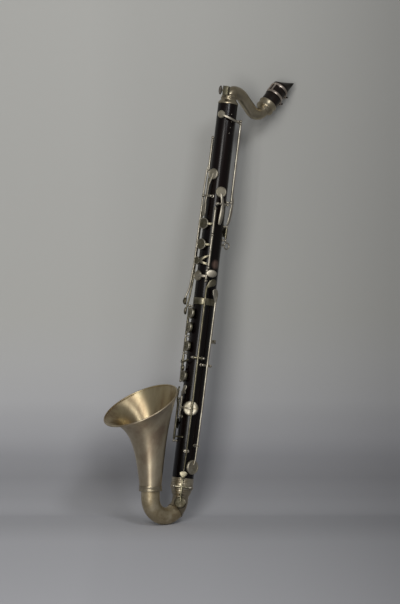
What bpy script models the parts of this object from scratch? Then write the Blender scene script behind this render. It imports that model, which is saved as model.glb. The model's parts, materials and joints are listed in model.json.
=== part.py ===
"""Alto clarinet with a plateau key system, a curved neck and an upturned metal bell.

Lengths are in metres.  The body stands upright along Z with the instrument's front facing -Y.
A place on the body is given as a station, which runs down from the upper edge of the wood,
a turn round the body in degrees (0 is +X, the player's left, and -90 is the front),
and a height over the wood.  The origin is the eye of the neck strap's ring.
"""

import math

import bmesh
import bpy
from mathutils import Matrix, Vector

# Clearances
GAP = 0.0003            # between pieces that touch
RUN = 0.0003            # between a hinge tube and the rod inside it

# Wooden body
UPPER_LENGTH = 0.3029
UPPER_RADIUS = 0.01535
LOWER_LENGTH = 0.2967
LOWER_RADIUS = 0.0166
TAPER_START = 0.363 * UPPER_LENGTH
TAPER_END = 0.951 * UPPER_LENGTH
BORE_RADIUS = 0.0088
TENON_RADIUS = 0.0126
TENON_LENGTH = 0.020
CORK_THICKNESS = 0.0011
CORK_LENGTH = 0.012
CORK_PROUD = 0.0005
NECK_TENON_RADIUS = 0.0106
NECK_TENON_LENGTH = 0.020
BOW_TENON_RADIUS = 0.0112
BOW_TENON_LENGTH = 0.015
CHIMNEY_RISE = 0.0004
CHIMNEY_ROOT = 0.0008
LOWER_TOP = UPPER_LENGTH + GAP
BODY_END = LOWER_TOP + LOWER_LENGTH

# Ferrules
FERRULE_WALL = 0.0016
FERRULE_PROUD = 0.0004
TOP_FERRULE_HEIGHT = 0.0104
MIDDLE_FERRULE_HEIGHT = 0.0109
BOTTOM_FERRULE_HEIGHT = 0.0178
BEAD_PROUD = 0.0011
BEAD_HALF = 0.0016
BEAD_FROM_END = 0.0040
RIDGE_COUNT = 3
RIDGE_PITCH = 0.0028
RIDGE_DIP = 0.0005

# Neck, whose centre line lies in the YZ plane
NECK_TUBE_RADIUS = 0.0093
NECK_WALL = 0.0011
NECK_FIRST_BEND = 0.0104
NECK_SECOND_BEND = 0.0268
NECK_SLOPE = 40.5
NECK_KNEE_SHARE = 0.80  # of the way from the corner to the socket, taken by the last bend
NECK_SOCKET_REACH = 0.0793
NECK_SOCKET_RISE = 0.0146
NECK_SOCKET_RADIUS = 0.0137
NECK_SOCKET_DEPTH = 0.0120
NECK_SOCKET_TAPER = 0.0040
NECK_COLLAR_RADIUS = 0.0108
NECK_COLLAR_HEIGHT = 0.0050
MOUTHPIECE_TILT = 36.0

# Mouthpiece, reed and ligature
MOUTHPIECE_RADIUS = 0.0134
MOUTHPIECE_LENGTH = 0.0550
MOUTHPIECE_TENON_RADIUS = 0.0110
MOUTHPIECE_TENON_LENGTH = 0.0105
MOUTHPIECE_BORE = 0.0070
BEAK_LENGTH = 0.0190
TIP_HALF_WIDTH = 0.0068
TABLE_DROP = 0.0028
REED_THICKNESS = 0.0022
REED_HALF_WIDTH = 0.0062
REED_EDGE = 0.45
REED_HEEL = 0.0030
LIGATURE_WALL = 0.0006
LIGATURE_BAND = 0.0038
LIGATURE_STATIONS = (0.0165, 0.0310)
LIGATURE_BAR_SPREAD = 19.0
LUG_REACH = 0.0055
SCREW_RADIUS = 0.0012
SCREW_SIDE = 0.0090
WING_LENGTH = 0.0110
WING_WIDTH = 0.0055
WING_THICKNESS = 0.0018

# Lyre holder beside the neck's collar
LYRE_TURN = -58.0
LYRE_HEIGHT = 0.0140
LYRE_HALF_WIDTH = 0.0042
LYRE_SLOT = 0.0044
LYRE_SCREW_RADIUS = 0.0013
LYRE_SCREW_TURN = -128.0
LYRE_SCREW_LENGTH = 0.0085
LYRE_WING_LENGTH = 0.0140

# Bow and bell, whose centre line lies in the YZ plane
BOW_RADIUS = 0.0290
BOW_DROP = 0.0142
BOW_LEG = 0.0156
ELBOW_SWEEP = 42.0
BELL_LEAN = 9.0
MOUTH_LEAN = 37.5
BOW_TUBE_START = 0.0124
BOW_TUBE_END = 0.0142
BOW_WALL = 0.0010
BOW_RING_PROUD = 0.0009
BOW_RING_SWEEP = 2.4    # degrees of the bend
BELL_LENGTH = 0.1300
BELL_THROAT = 0.0161
BELL_MOUTH = 0.0606
BELL_WALL = 0.0009
BELL_LINEAR_SHARE = 0.36
BELL_FLARE_POWER = 4.4
BELL_LEAN_POWER = 2.6
BELL_RIM_RADIUS = 0.0013
BELL_RING_PROUD = 0.0010
BELL_RING_LENGTH = 0.0080
COLLAR_RADIUS = 0.0154
COLLAR_LENGTH = 0.0085

# Strap ring and thumb rest on the back
STRAP_STATION = 0.7171 * UPPER_LENGTH
RING_EYE_RADIUS = 0.0036
RING_WIRE_RADIUS = 0.0012
RING_STEM = 0.0077
RING_PLATE_LENGTH = 0.020
RING_PLATE_WIDTH = 0.0090
PLATE_THICKNESS = 0.0016
THUMB_REST_STATION = 0.2241 * LOWER_LENGTH
THUMB_REST_REACH = 0.0098
THUMB_REST_WIDTH = 0.0150
THUMB_PLATE_LENGTH = 0.0280

# Key work
ROD_RADIUS = 0.0008
TUBE_RADIUS = 0.0019
BALL_RADIUS = 0.0022
STEM_RADIUS = 0.0013
FOOT_RADIUS = 0.0026
AXLE_HEIGHT = 0.0050
CUP_HEIGHT = 0.0026
PAD_THICKNESS = 0.0012
PAD_INSET = 0.0007
ARM_HALF_WIDTH = 0.0017
ARM_HALF_THICKNESS = 0.0009
LEVER_RADIUS = 0.0017
PLATEAU_TRAVEL = 10.0
SMALL_CUP = 0.0062
THROAT_CUP = 0.0086
PLATEAU_CUP = 0.0088
RIGHT_CUP = 0.0086
C_SHARP_CUP = 0.0080
BIG_CUP = 0.0117
F_SHARP_CUP = 0.0114
BOW_CUP = 0.0095
HOLE_SHARE = 0.55

BODY_SIDES = 24
TUBE_SIDES = 8
CUP_SIDES = 14
POST_SIDES = 6

# The ring's eye is the origin, so the body's own axis stands this far in front of it
RING_REACH = UPPER_RADIUS + PLATE_THICKNESS + RING_STEM + 2 * RING_WIRE_RADIUS + RING_EYE_RADIUS
AXIS_Y = -RING_REACH
UP = Vector((0.0, 0.0, 1.0))

BRIGHT = ("key_silver", (0.74, 0.71, 0.64, 1.0), 0.24, 1.0)
SATIN = ("nickel_silver", (0.52, 0.47, 0.36, 1.0), 0.38, 1.0)
WOOD = ("blackwood", (0.022, 0.014, 0.012, 1.0), 0.34, 0.0)
EBONITE = ("ebonite", (0.020, 0.017, 0.016, 1.0), 0.30, 0.0)
CORK = ("cork", (0.55, 0.38, 0.22, 1.0), 0.85, 0.0)
CANE = ("cane", (0.72, 0.58, 0.34, 1.0), 0.55, 0.0)
DARK = ("dark_steel", (0.10, 0.09, 0.08, 1.0), 0.40, 1.0)


def clear_scene():
    """Removes whatever the scene holds."""
    for item in list(bpy.data.objects):
        bpy.data.objects.remove(item)


def new_collection(name):
    collection = bpy.data.collections.new(name)
    bpy.context.scene.collection.children.link(collection)
    return collection


def material(look):
    """The material of a look: its name, colour, roughness and metallic value."""
    name, colour, roughness, metallic = look
    found = bpy.data.materials.get(name)
    if found:
        return found
    made = bpy.data.materials.new(name)
    made.use_nodes = True
    shader = made.node_tree.nodes["Principled BSDF"]
    shader.inputs["Base Color"].default_value = colour
    shader.inputs["Roughness"].default_value = roughness
    shader.inputs["Metallic"].default_value = metallic
    return made


# Places on the body

def wood_radius(station):
    """Radius of the wood at a station: it grows from the upper joint's top to the middle joint."""
    share = (station - TAPER_START) / (TAPER_END - TAPER_START)
    share = min(max(share, 0.0), 1.0)
    return UPPER_RADIUS + (LOWER_RADIUS - UPPER_RADIUS) * share


def upper(share):
    """The station at a share of the upper joint's length."""
    return UPPER_LENGTH * share


def lower(share):
    """The station at a share of the lower joint's length."""
    return LOWER_TOP + LOWER_LENGTH * share


def outward(turn):
    angle = math.radians(turn)
    return Vector((math.cos(angle), math.sin(angle), 0.0))


def around(turn):
    """Direction round the body, in which the turn grows."""
    angle = math.radians(turn)
    return Vector((-math.sin(angle), math.cos(angle), 0.0))


def from_axis(station, turn, reach):
    """A point at a reach from the body's axis."""
    return Vector((0.0, AXIS_Y, STRAP_STATION - station)) + outward(turn) * reach


def over(station, turn, height):
    """A point at a height over the wood."""
    return from_axis(station, turn, wood_radius(station) + height)


def frame(origin, z_axis, x_hint=UP):
    """A placing matrix whose Z runs along z_axis and whose X lies nearest to x_hint."""
    z_axis = z_axis.normalized()
    x_axis = (x_hint - z_axis * x_hint.dot(z_axis)).normalized()
    y_axis = z_axis.cross(x_axis)
    matrix = Matrix((x_axis, y_axis, z_axis)).transposed().to_4x4()
    return Matrix.Translation(origin) @ matrix


def body_frame(station):
    """On the body's axis at a station, with Z up."""
    return Matrix.Translation(from_axis(station, 0.0, 0.0))


# Shapes

def show(mesh, name="shape"):
    """A new object for a mesh, in the scene's parts."""
    item = bpy.data.objects.new(name, mesh)
    PARTS.objects.link(item)
    return item


def baked(item, merge=0.0):
    """The object as its modifiers leave it, as a plain mesh in world space."""
    bpy.context.view_layer.update()
    graph = bpy.context.evaluated_depsgraph_get()
    mesh = bpy.data.meshes.new_from_object(item.evaluated_get(graph))
    mesh.transform(item.matrix_world)
    bpy.data.objects.remove(item)
    if merge:
        work = bmesh.new()
        work.from_mesh(mesh)
        bmesh.ops.remove_doubles(work, verts=work.verts, dist=merge)
        work.to_mesh(mesh)
        work.free()
    return show(mesh)


def turned(outline, place, sides=TUBE_SIDES):
    """Turns an outline of (radius, height) points, which runs down its outer side, about Z."""
    mesh = bpy.data.meshes.new("outline")
    edges = [(i, i + 1) for i in range(len(outline) - 1)]
    if outline[0][0] > 0.0 or outline[-1][0] > 0.0:
        edges.append((len(outline) - 1, 0))
    mesh.from_pydata([(radius, 0.0, height) for radius, height in outline], edges, [])
    item = show(mesh)
    item.matrix_world = place
    screw = item.modifiers.new("turn", "SCREW")
    screw.steps = sides
    screw.render_steps = sides
    screw.use_merge_vertices = True
    screw.merge_threshold = 0.00001
    screw.use_smooth_shade = True
    return baked(item)


def cylinder(start, end, radius, sides=TUBE_SIDES):
    """A plain round bar between two points."""
    length = (end - start).length
    return turned([(0.0, length), (radius, length), (radius, 0.0), (0.0, 0.0)],
                  frame(start, end - start, Vector((0.3, 0.2, 1.0))), sides)


def wire(points, radii):
    """A bent round bar through points, with a radius at each."""
    curve = bpy.data.curves.new("wire", "CURVE")
    curve.dimensions = "3D"
    curve.bevel_depth = 1.0
    curve.bevel_resolution = 1
    curve.use_fill_caps = True
    spline = curve.splines.new("POLY")
    spline.points.add(len(points) - 1)
    for spot, point, radius in zip(spline.points, points, radii):
        spot.co = (*point, 1.0)
        spot.radius = radius
    item = bpy.data.objects.new("wire", curve)
    PARTS.objects.link(item)
    return baked(item, merge=0.00001)


def loft(rings):
    """A closed skin through rings of points, capped at both ends."""
    work = bmesh.new()
    rows = [[work.verts.new(point) for point in ring] for ring in rings]
    count = len(rows[0])
    for upper, lower in zip(rows, rows[1:]):
        for i in range(count):
            j = (i + 1) % count
            work.faces.new((upper[i], upper[j], lower[j], lower[i]))
    work.faces.new(rows[0][::-1])
    work.faces.new(rows[-1])
    bmesh.ops.recalc_face_normals(work, faces=work.faces)
    mesh = bpy.data.meshes.new("loft")
    work.to_mesh(mesh)
    work.free()
    return show(mesh)


FLAT_SECTION = ((1.0, 0.0), (0.68, 1.0), (-0.68, 1.0), (-1.0, 0.0), (-0.68, -1.0), (0.68, -1.0))


def strip(stops):
    """A flat bar over the wood.

    Each stop is a station, turn, height, half width and half thickness.
    """
    points = [over(*stop[:3]) for stop in stops]
    rings = []
    for i, stop in enumerate(stops):
        along = (points[min(i + 1, len(points) - 1)] - points[max(i - 1, 0)]).normalized()
        out = outward(stop[1])
        out = (out - along * out.dot(along)).normalized()
        side = along.cross(out)
        rings.append([points[i] + side * (u * stop[3]) + out * (v * stop[4]) for u, v in FLAT_SECTION])
    return loft(rings)


def ellipse_button(centre, normal, half_long, half_wide, thickness, long_way):
    """A domed oval finger button."""
    place = frame(centre, normal, long_way)
    shares = ((0.0, 1.0), (0.6, 0.85), (1.0, 0.1), (0.85, -0.35), (0.0, -0.35))
    item = turned([(share, rise * thickness) for share, rise in shares], Matrix.Identity(4), 12)
    item.data.transform(place @ Matrix.Diagonal((half_long, half_wide, 1.0, 1.0)))
    return item


def combine(base, others, operation):
    for other in others:
        modifier = base.modifiers.new(operation.lower(), "BOOLEAN")
        modifier.operation = operation
        modifier.object = other
        modifier.solver = "EXACT"
    result = baked(base)
    for other in others:
        bpy.data.objects.remove(other)
    return result


def joined(base, *others):
    return combine(base, others, "UNION")


def cut(base, *cutters):
    return combine(base, cutters, "DIFFERENCE")


def finished(item, name, look):
    """Names a sub-part, gives it its material and shades its round sides."""
    item.name = name
    item.data.name = name
    item.data.materials.clear()
    item.data.materials.append(material(look))
    item.data.shade_smooth()
    item.data.set_sharp_from_angle(angle=math.radians(38.0))
    return item


def hinged(item, name, pivot, axis):
    """Hangs a moving piece on an empty whose Z is its joint's axis."""
    empty = bpy.data.objects.new(name, None)
    empty.empty_display_size = 0.004
    empty.matrix_world = frame(pivot, axis, Vector((0.3, 0.5, 0.9)))
    PARTS.objects.link(empty)
    bpy.context.view_layer.update()
    item.parent = empty
    item.matrix_parent_inverse = empty.matrix_world.inverted()


def swung(item, pivot, axis, degrees):
    """Turns a piece about an axle."""
    turn = Matrix.Rotation(math.radians(degrees), 4, axis)
    item.data.transform(Matrix.Translation(pivot) @ turn @ Matrix.Translation(-pivot))
    return item


# Key work

class Axle:
    """A hinge rod over the wood: along the body, or across it."""

    def __init__(self, station, turn, half_length, across=False, height=AXLE_HEIGHT, seat=None):
        self.station = station
        self.half = half_length
        self.seat = seat
        self.reach = (seat if seat else wood_radius(station)) + height
        self.centre = from_axis(station, turn, self.reach)
        self.axis = around(turn) if across else -UP

    def at(self, along):
        return self.centre + self.axis * along

    def post(self, along):
        """A turned post with a ball head on the rod, standing square on the wood."""
        head = self.at(along)
        flat = Vector((head.x, head.y - AXIS_Y, 0.0))
        station = STRAP_STATION - head.z
        foot = self.seat if self.seat else wood_radius(station) + GAP
        top = flat.length - foot
        neck = BALL_RADIUS * 0.62
        lean = BALL_RADIUS * 0.78
        outline = [(0.0, top + BALL_RADIUS), (neck, top + lean), (BALL_RADIUS, top), (neck, top - lean),
                   (STEM_RADIUS, 0.0012), (FOOT_RADIUS, 0.0007), (FOOT_RADIUS, 0.0), (0.0, 0.0)]
        base = Vector((0.0, AXIS_Y, head.z)) + flat.normalized() * foot
        return turned(outline, frame(base, flat), POST_SIDES)

    def rod(self):
        end = self.half + BALL_RADIUS * 0.6
        return cylinder(self.at(-end), self.at(end), ROD_RADIUS, POST_SIDES)

    def posts(self, name, *between):
        """The rod with its posts at both ends and any between, as one piece."""
        stands = [self.post(along) for along in (-self.half, self.half, *between)]
        return finished(joined(self.rod(), *stands), name, BRIGHT)

    def tube(self, start, end):
        return cylinder(self.at(start), self.at(end), TUBE_RADIUS)

    def bored(self, item, start, end):
        """Clears the rod's way through a key's hinge tube."""
        margin = 0.0002
        return cut(item, cylinder(self.at(start - margin), self.at(end + margin), ROD_RADIUS + RUN))


def pad_cup(station, turn, radius, seat=CHIMNEY_RISE):
    """A domed cup with its pad, closed over its tone hole."""
    base = over(station, turn, seat + GAP)
    return cup_on(frame(base, outward(turn)), radius)


def cup_on(place, radius):
    pad = radius - PAD_INSET
    top = PAD_THICKNESS + CUP_HEIGHT
    outline = [(0.0, top), (radius * 0.62, top - 0.08 * CUP_HEIGHT), (radius * 0.95, top - 0.45 * CUP_HEIGHT),
               (radius, PAD_THICKNESS * 0.8), (pad, PAD_THICKNESS * 0.6), (pad, 0.0), (0.0, 0.0)]
    return turned(outline, place, CUP_SIDES)


CUP_TOP = CHIMNEY_RISE + GAP + PAD_THICKNESS + CUP_HEIGHT


def key(name, axle, start, end, pieces, open_angle=0.0):
    """A key: a hinge tube with what is brazed to it, hung on its axle.

    An open-standing key is modelled closed and swung open by open_angle.
    """
    item = joined(axle.tube(start, end), *pieces)
    item = axle.bored(item, start, end)
    if open_angle:
        swung(item, axle.centre, axle.axis, open_angle)
    finished(item, name, BRIGHT)
    hinged(item, name + "_axis", axle.centre, axle.axis)
    return item


def lever(stops):
    """A round lever through stops of station, turn, height and radius."""
    return wire([over(*stop[:3]) for stop in stops], [stop[3] for stop in stops])


def joint_outline(top, bottom):
    """Outer profile of the wood between two stations, top to bottom."""
    stops = [top] + [s for s in (TAPER_START, TAPER_END) if top < s < bottom] + [bottom]
    return [(wood_radius(s), -s) for s in stops]


def tone_holes(item, holes):
    """Raises a chimney for each hole and drills it through to the bore."""
    chimneys = []
    drills = []
    for station, turn, radius in holes:
        seat = wood_radius(station) + CHIMNEY_RISE
        rim = radius - PAD_INSET * 2
        place = frame(from_axis(station, turn, 0.0), outward(turn))
        root = math.sqrt(wood_radius(station) ** 2 - rim ** 2) - CHIMNEY_ROOT
        chimneys.append(turned([(0.0, seat), (rim, seat), (rim, root), (0.0, root)], place, 12))
        drill = radius * HOLE_SHARE
        low = BORE_RADIUS * 0.6
        drills.append(turned([(0.0, seat + 0.004), (drill, seat + 0.004), (drill, low), (0.0, low)],
                             place @ Matrix.Rotation(0.3, 4, "Z"), 8))
    return cut(joined(item, *chimneys), *drills)


# Tone holes as station, turn and cup radius
REGISTER_HOLE = (upper(0.0591), -65.0, SMALL_CUP)
THROAT_A_HOLE = (upper(0.3674), -70.0, THROAT_CUP)
THROAT_G_SHARP_HOLE = (upper(0.4556), -20.3, THROAT_CUP)
UPPER_TRILL_HOLE = (upper(0.2113), 162.0, SMALL_CUP)
LOWER_TRILL_HOLE = (upper(0.4008), 161.0, SMALL_CUP)
LEFT_HOLES = ((upper(0.6240), -84.0, PLATEAU_CUP), (upper(0.7306), -84.0, PLATEAU_CUP),
              (upper(0.8155), -96.0, SMALL_CUP))
THUMB_HOLE = (upper(0.6487), 92.0, THROAT_CUP)
C_SHARP_HOLE = (upper(0.8914), -86.0, C_SHARP_CUP)
RIGHT_HOLES = ((lower(0.0863), -91.0, RIGHT_CUP), (lower(0.1611), -93.0, RIGHT_CUP),
               (lower(0.2585), -90.0, RIGHT_CUP))
VENT_HOLE = (lower(0.4152), -90.0, RIGHT_CUP)
F_HOLE = (lower(0.5784), -38.0, BIG_CUP)
A_FLAT_HOLE = (lower(0.6606), -158.0, THROAT_CUP)
F_SHARP_HOLE = (lower(0.8797), 3.0, F_SHARP_CUP)


def upper_joint():
    """Upper half of the wooden body, with the neck's socket and the middle tenon."""
    socket = NECK_TENON_RADIUS + GAP
    depth = NECK_TENON_LENGTH + GAP
    tip = UPPER_LENGTH + TENON_LENGTH
    groove_top = UPPER_LENGTH + (TENON_LENGTH - CORK_LENGTH) / 2 - GAP
    groove_end = groove_top + CORK_LENGTH + 2 * GAP
    groove = TENON_RADIUS - CORK_THICKNESS + CORK_PROUD - GAP
    outline = joint_outline(0.0, UPPER_LENGTH)
    outline += [(TENON_RADIUS, -UPPER_LENGTH), (TENON_RADIUS, -groove_top), (groove, -groove_top),
                (groove, -groove_end), (TENON_RADIUS, -groove_end), (TENON_RADIUS, -tip),
                (BORE_RADIUS, -tip), (BORE_RADIUS, -depth), (socket, -depth), (socket, 0.0)]
    item = turned(outline, body_frame(0.0), BODY_SIDES)
    holes = [REGISTER_HOLE, THROAT_A_HOLE, THROAT_G_SHARP_HOLE, UPPER_TRILL_HOLE, LOWER_TRILL_HOLE,
             *LEFT_HOLES, THUMB_HOLE, C_SHARP_HOLE]
    finished(tone_holes(item, holes), "upper_joint", WOOD)


def lower_joint():
    """Lower half of the wooden body, with a socket at each end and a step for each ferrule."""
    socket = TENON_RADIUS + CORK_PROUD + GAP
    socket_end = LOWER_TOP + TENON_LENGTH + GAP
    step = LOWER_RADIUS - FERRULE_WALL + FERRULE_PROUD - GAP
    middle_end = LOWER_TOP + MIDDLE_FERRULE_HEIGHT + GAP
    bottom_start = BODY_END - BOTTOM_FERRULE_HEIGHT - GAP
    bow_socket = BOW_TENON_RADIUS + GAP
    bow_depth = BODY_END - BOW_TENON_LENGTH - 2 * GAP
    outline = [(step, -LOWER_TOP), (step, -middle_end)]
    outline += joint_outline(middle_end, bottom_start)
    outline += [(step, -bottom_start), (step, -BODY_END), (bow_socket, -BODY_END), (bow_socket, -bow_depth),
                (BORE_RADIUS, -bow_depth), (BORE_RADIUS, -socket_end), (socket, -socket_end),
                (socket, -LOWER_TOP)]
    item = turned(outline, body_frame(0.0), BODY_SIDES)
    holes = [*RIGHT_HOLES, VENT_HOLE, F_HOLE, A_FLAT_HOLE, F_SHARP_HOLE]
    finished(tone_holes(item, holes), "lower_joint", WOOD)


def tenon_cork():
    inner = TENON_RADIUS - CORK_THICKNESS + CORK_PROUD
    outer = TENON_RADIUS + CORK_PROUD
    top = UPPER_LENGTH + (TENON_LENGTH - CORK_LENGTH) / 2
    outline = [(outer, -top), (outer, -top - CORK_LENGTH), (inner, -top - CORK_LENGTH), (inner, -top)]
    finished(turned(outline, body_frame(0.0), 20), "tenon_cork", CORK)


def top_ferrule():
    """Coned cap on the upper joint, with a bead on top, through which the neck's tenon passes."""
    inner = NECK_TENON_RADIUS + GAP
    outer = UPPER_RADIUS + FERRULE_PROUD * 0.5
    top = TOP_FERRULE_HEIGHT
    bead = outer * 0.80
    outline = [(inner, top), (bead - 0.0005, top), (bead, top - 0.0006), (bead, top - 0.0016),
               (bead - 0.0007, top - 0.0022), (bead - 0.0004, top * 0.66), (outer * 0.90, top * 0.42),
               (outer, top * 0.22), (outer, GAP), (inner, GAP)]
    finished(turned(outline, body_frame(0.0), BODY_SIDES), "top_ferrule", SATIN)


def middle_ferrule():
    outer = LOWER_RADIUS + FERRULE_PROUD
    inner = outer - FERRULE_WALL
    top = -LOWER_TOP
    end = top - MIDDLE_FERRULE_HEIGHT
    soft = 0.0005
    outline = [(inner, top), (outer - soft, top), (outer, top - soft), (outer, end + soft),
               (outer - soft, end), (inner, end)]
    finished(turned(outline, body_frame(0.0), BODY_SIDES), "middle_ferrule", SATIN)


def bottom_ferrule():
    """Socket ring at the foot of the wood, with turned ridges and one bold bead."""
    outer = LOWER_RADIUS + FERRULE_PROUD
    inner = outer - FERRULE_WALL
    top = -(BODY_END - BOTTOM_FERRULE_HEIGHT)
    outline = [(inner, top), (outer, top)]
    for i in range(RIDGE_COUNT):
        start = top - 0.0012 - i * RIDGE_PITCH
        outline += [(outer, start), (outer - RIDGE_DIP, start - RIDGE_PITCH * 0.35),
                    (outer, start - RIDGE_PITCH * 0.7)]
    bead = -BODY_END + BEAD_FROM_END
    crown = BEAD_HALF * 0.4
    outline += [(outer, bead + BEAD_HALF), (outer + BEAD_PROUD, bead + crown),
                (outer + BEAD_PROUD, bead - crown), (outer, bead - BEAD_HALF), (outer, -BODY_END),
                (inner, -BODY_END)]
    finished(turned(outline, body_frame(0.0), BODY_SIDES), "bottom_ferrule", SATIN)


# Neck and mouthpiece

def neck_point(reach, rise):
    return Vector((0.0, AXIS_Y + reach, STRAP_STATION + rise))


MOUTH_AXIS = Vector((0.0, math.sin(math.radians(MOUTHPIECE_TILT)), math.cos(math.radians(MOUTHPIECE_TILT))))
REED_SIDE = Vector((0.0, MOUTH_AXIS.z, -MOUTH_AXIS.y))
SOCKET_RIM = neck_point(NECK_SOCKET_REACH, NECK_SOCKET_RISE)


def bend(point, heading, radius, sweep, count):
    """Points along an arc in the YZ plane; heading is in degrees from up towards the back."""
    side = math.copysign(1.0, sweep)
    points = []
    for i in range(1, count + 1):
        turned_to = math.radians(heading + sweep * i / count)
        begun = math.radians(heading)
        shift_y = side * radius * (math.cos(begun) - math.cos(turned_to))
        shift_z = side * radius * (math.sin(turned_to) - math.sin(begun))
        points.append(point + Vector((0.0, shift_y, shift_z)))
    return points


def neck_line():
    """Centre line of the neck: up, over in two bends, down a slope and up into the socket."""
    start = neck_point(0.0, TOP_FERRULE_HEIGHT + GAP)
    path = [start]
    path += bend(start, 0.0, NECK_FIRST_BEND, 90.0, 5)
    path += bend(path[-1], 90.0, NECK_SECOND_BEND, NECK_SLOPE, 3)
    down = Vector((0.0, math.cos(math.radians(NECK_SLOPE)), -math.sin(math.radians(NECK_SLOPE))))
    floor = SOCKET_RIM - MOUTH_AXIS * (NECK_SOCKET_DEPTH + GAP)
    apart = floor - path[-1]
    cross = down.y * MOUTH_AXIS.z - down.z * MOUTH_AXIS.y
    ahead = (apart.y * MOUTH_AXIS.z - apart.z * MOUTH_AXIS.y) / cross
    corner = path[-1] + down * ahead
    tangent = (floor - corner).length * NECK_KNEE_SHARE
    sweep = 180.0 - (90.0 - NECK_SLOPE) - MOUTHPIECE_TILT
    radius = tangent / math.tan(math.radians(sweep / 2))
    turn_in = corner - down * tangent
    path.append(turn_in)
    path += bend(turn_in, 90.0 + NECK_SLOPE, radius, -sweep, 6)
    path.append(floor)
    return path


def ring_at(point, way, radius, sides):
    """A ring of points round a way that lies in the YZ plane."""
    side = Vector((1.0, 0.0, 0.0))
    across = way.cross(side)
    return [point + side * (radius * math.cos(2 * math.pi * k / sides))
            + across * (radius * math.sin(2 * math.pi * k / sides)) for k in range(sides)]


def tube_rings(path, radius, sides):
    """Rings square to a path in the YZ plane."""
    rings = []
    for i, point in enumerate(path):
        way = (path[min(i + 1, len(path) - 1)] - path[max(i - 1, 0)]).normalized()
        rings.append(ring_at(point, way, radius, sides))
    return rings


def neck():
    """Swan neck: a collar and tenon below, the bent tube, and the mouthpiece's socket."""
    path = neck_line()
    sides = 14
    foot = path[0] - UP * 0.0010
    outer = loft(tube_rings([foot, *path], NECK_TUBE_RADIUS, sides))
    socket = NECK_SOCKET_RADIUS
    depth = NECK_SOCKET_DEPTH
    skirt = NECK_TUBE_RADIUS + 0.0004
    cup_end = -depth - NECK_SOCKET_TAPER
    cup = turned([(0.0, 0.0), (socket + 0.0006, 0.0), (socket + 0.0006, -0.0022), (socket, -0.0030),
                  (socket - 0.0002, -depth * 0.75), (socket - 0.0012, -depth - 0.0008),
                  (skirt, cup_end), (0.0, cup_end)],
                 frame(SOCKET_RIM, MOUTH_AXIS, Vector((0.3, 0.2, 1.0))), 20)
    base = TOP_FERRULE_HEIGHT + GAP
    collar_top = base + NECK_COLLAR_HEIGHT
    tenon = NECK_TENON_RADIUS
    collar = turned([(0.0, collar_top), (skirt, collar_top), (NECK_COLLAR_RADIUS, base + 0.0030),
                     (NECK_COLLAR_RADIUS + 0.0008, base + 0.0020), (NECK_COLLAR_RADIUS + 0.0008, base),
                     (tenon, base), (tenon, -NECK_TENON_LENGTH), (0.0, -NECK_TENON_LENGTH)],
                    body_frame(0.0), 20)
    item = joined(outer, cup, collar)
    inside = NECK_TUBE_RADIUS - NECK_WALL
    start = path[0] - UP * (base + NECK_TENON_LENGTH + 0.004)
    way = [start, *path, SOCKET_RIM - MOUTH_AXIS * (depth - 0.0010)]
    hollow = loft(tube_rings(way, inside, sides))
    mouth_floor = -depth + 0.0008
    mouth = turned([(0.0, 0.004), (MOUTHPIECE_TENON_RADIUS + GAP, 0.004),
                    (MOUTHPIECE_TENON_RADIUS + GAP, mouth_floor), (0.0, mouth_floor)],
                   frame(SOCKET_RIM, MOUTH_AXIS), 16)
    finished(cut(item, hollow, mouth), "neck", SATIN)


def mouth_point(along, reedward=0.0, side=0.0):
    """A point of the mouthpiece: along its axis, towards the reed, and to the player's left."""
    return SOCKET_RIM + MOUTH_AXIS * along + REED_SIDE * reedward + Vector((side, 0.0, 0.0))


def mouthpiece_ring(along, top, table, half_width, level=0.0, sides=20):
    """A section that is round on top and flat on the reed's side; it is widest at level."""
    ring = []
    for k in range(sides):
        angle = 2 * math.pi * (k + 0.5) / sides
        rise = math.sin(angle)
        reedward = level + (level + top) * rise if rise < 0.0 else min(level + half_width * rise, table)
        ring.append(mouth_point(along, reedward, half_width * math.cos(angle)))
    return ring


def mouthpiece():
    """Beaked mouthpiece: a tenon, a round shank, a flat table and a beak that slopes to the tip."""
    radius = MOUTHPIECE_RADIUS
    table = radius - TABLE_DROP
    beak = MOUTHPIECE_LENGTH - BEAK_LENGTH
    rings = [mouthpiece_ring(GAP, radius, radius, radius),
             mouthpiece_ring(REED_HEEL, radius, radius, radius),
             mouthpiece_ring(REED_HEEL + 0.0004, radius, table, radius),
             mouthpiece_ring(beak, radius, table, radius)]
    for share in (0.15, 0.35, 0.6, 0.8, 1.0):
        level = (table - 0.0008) * share
        top = radius - (radius + table - 0.0018) * share ** 0.92
        width = radius + (TIP_HALF_WIDTH - radius) * share ** 0.8
        rings.append(mouthpiece_ring(beak + BEAK_LENGTH * share, top, table, width, level))
    body = loft(rings)
    tenon = turned([(0.0, GAP + 0.001), (MOUTHPIECE_TENON_RADIUS, GAP + 0.001),
                    (MOUTHPIECE_TENON_RADIUS, -MOUTHPIECE_TENON_LENGTH), (0.0, -MOUTHPIECE_TENON_LENGTH)],
                   frame(SOCKET_RIM, MOUTH_AXIS), 16)
    item = joined(body, tenon)
    bore = cylinder(mouth_point(-MOUTHPIECE_TENON_LENGTH - 0.002), mouth_point(beak * 0.92),
                    MOUTHPIECE_BORE, 12)
    item = cut(item, bore, window_cutter(beak))
    finished(item, "mouthpiece", EBONITE)


def window_cutter(beak):
    """Slot in the table that opens the bore to the reed."""
    work = bmesh.new()
    bmesh.ops.create_cube(work, size=1.0)
    mesh = bpy.data.meshes.new("window")
    work.to_mesh(mesh)
    work.free()
    length = beak * 0.62
    depth = MOUTHPIECE_RADIUS
    centre = mouth_point(beak * 0.45 + length / 2, depth / 2 + 0.001)
    mesh.transform(frame(centre, MOUTH_AXIS, REED_SIDE) @ Matrix.Diagonal((depth, 0.0096, length, 1.0)))
    return show(mesh)


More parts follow.
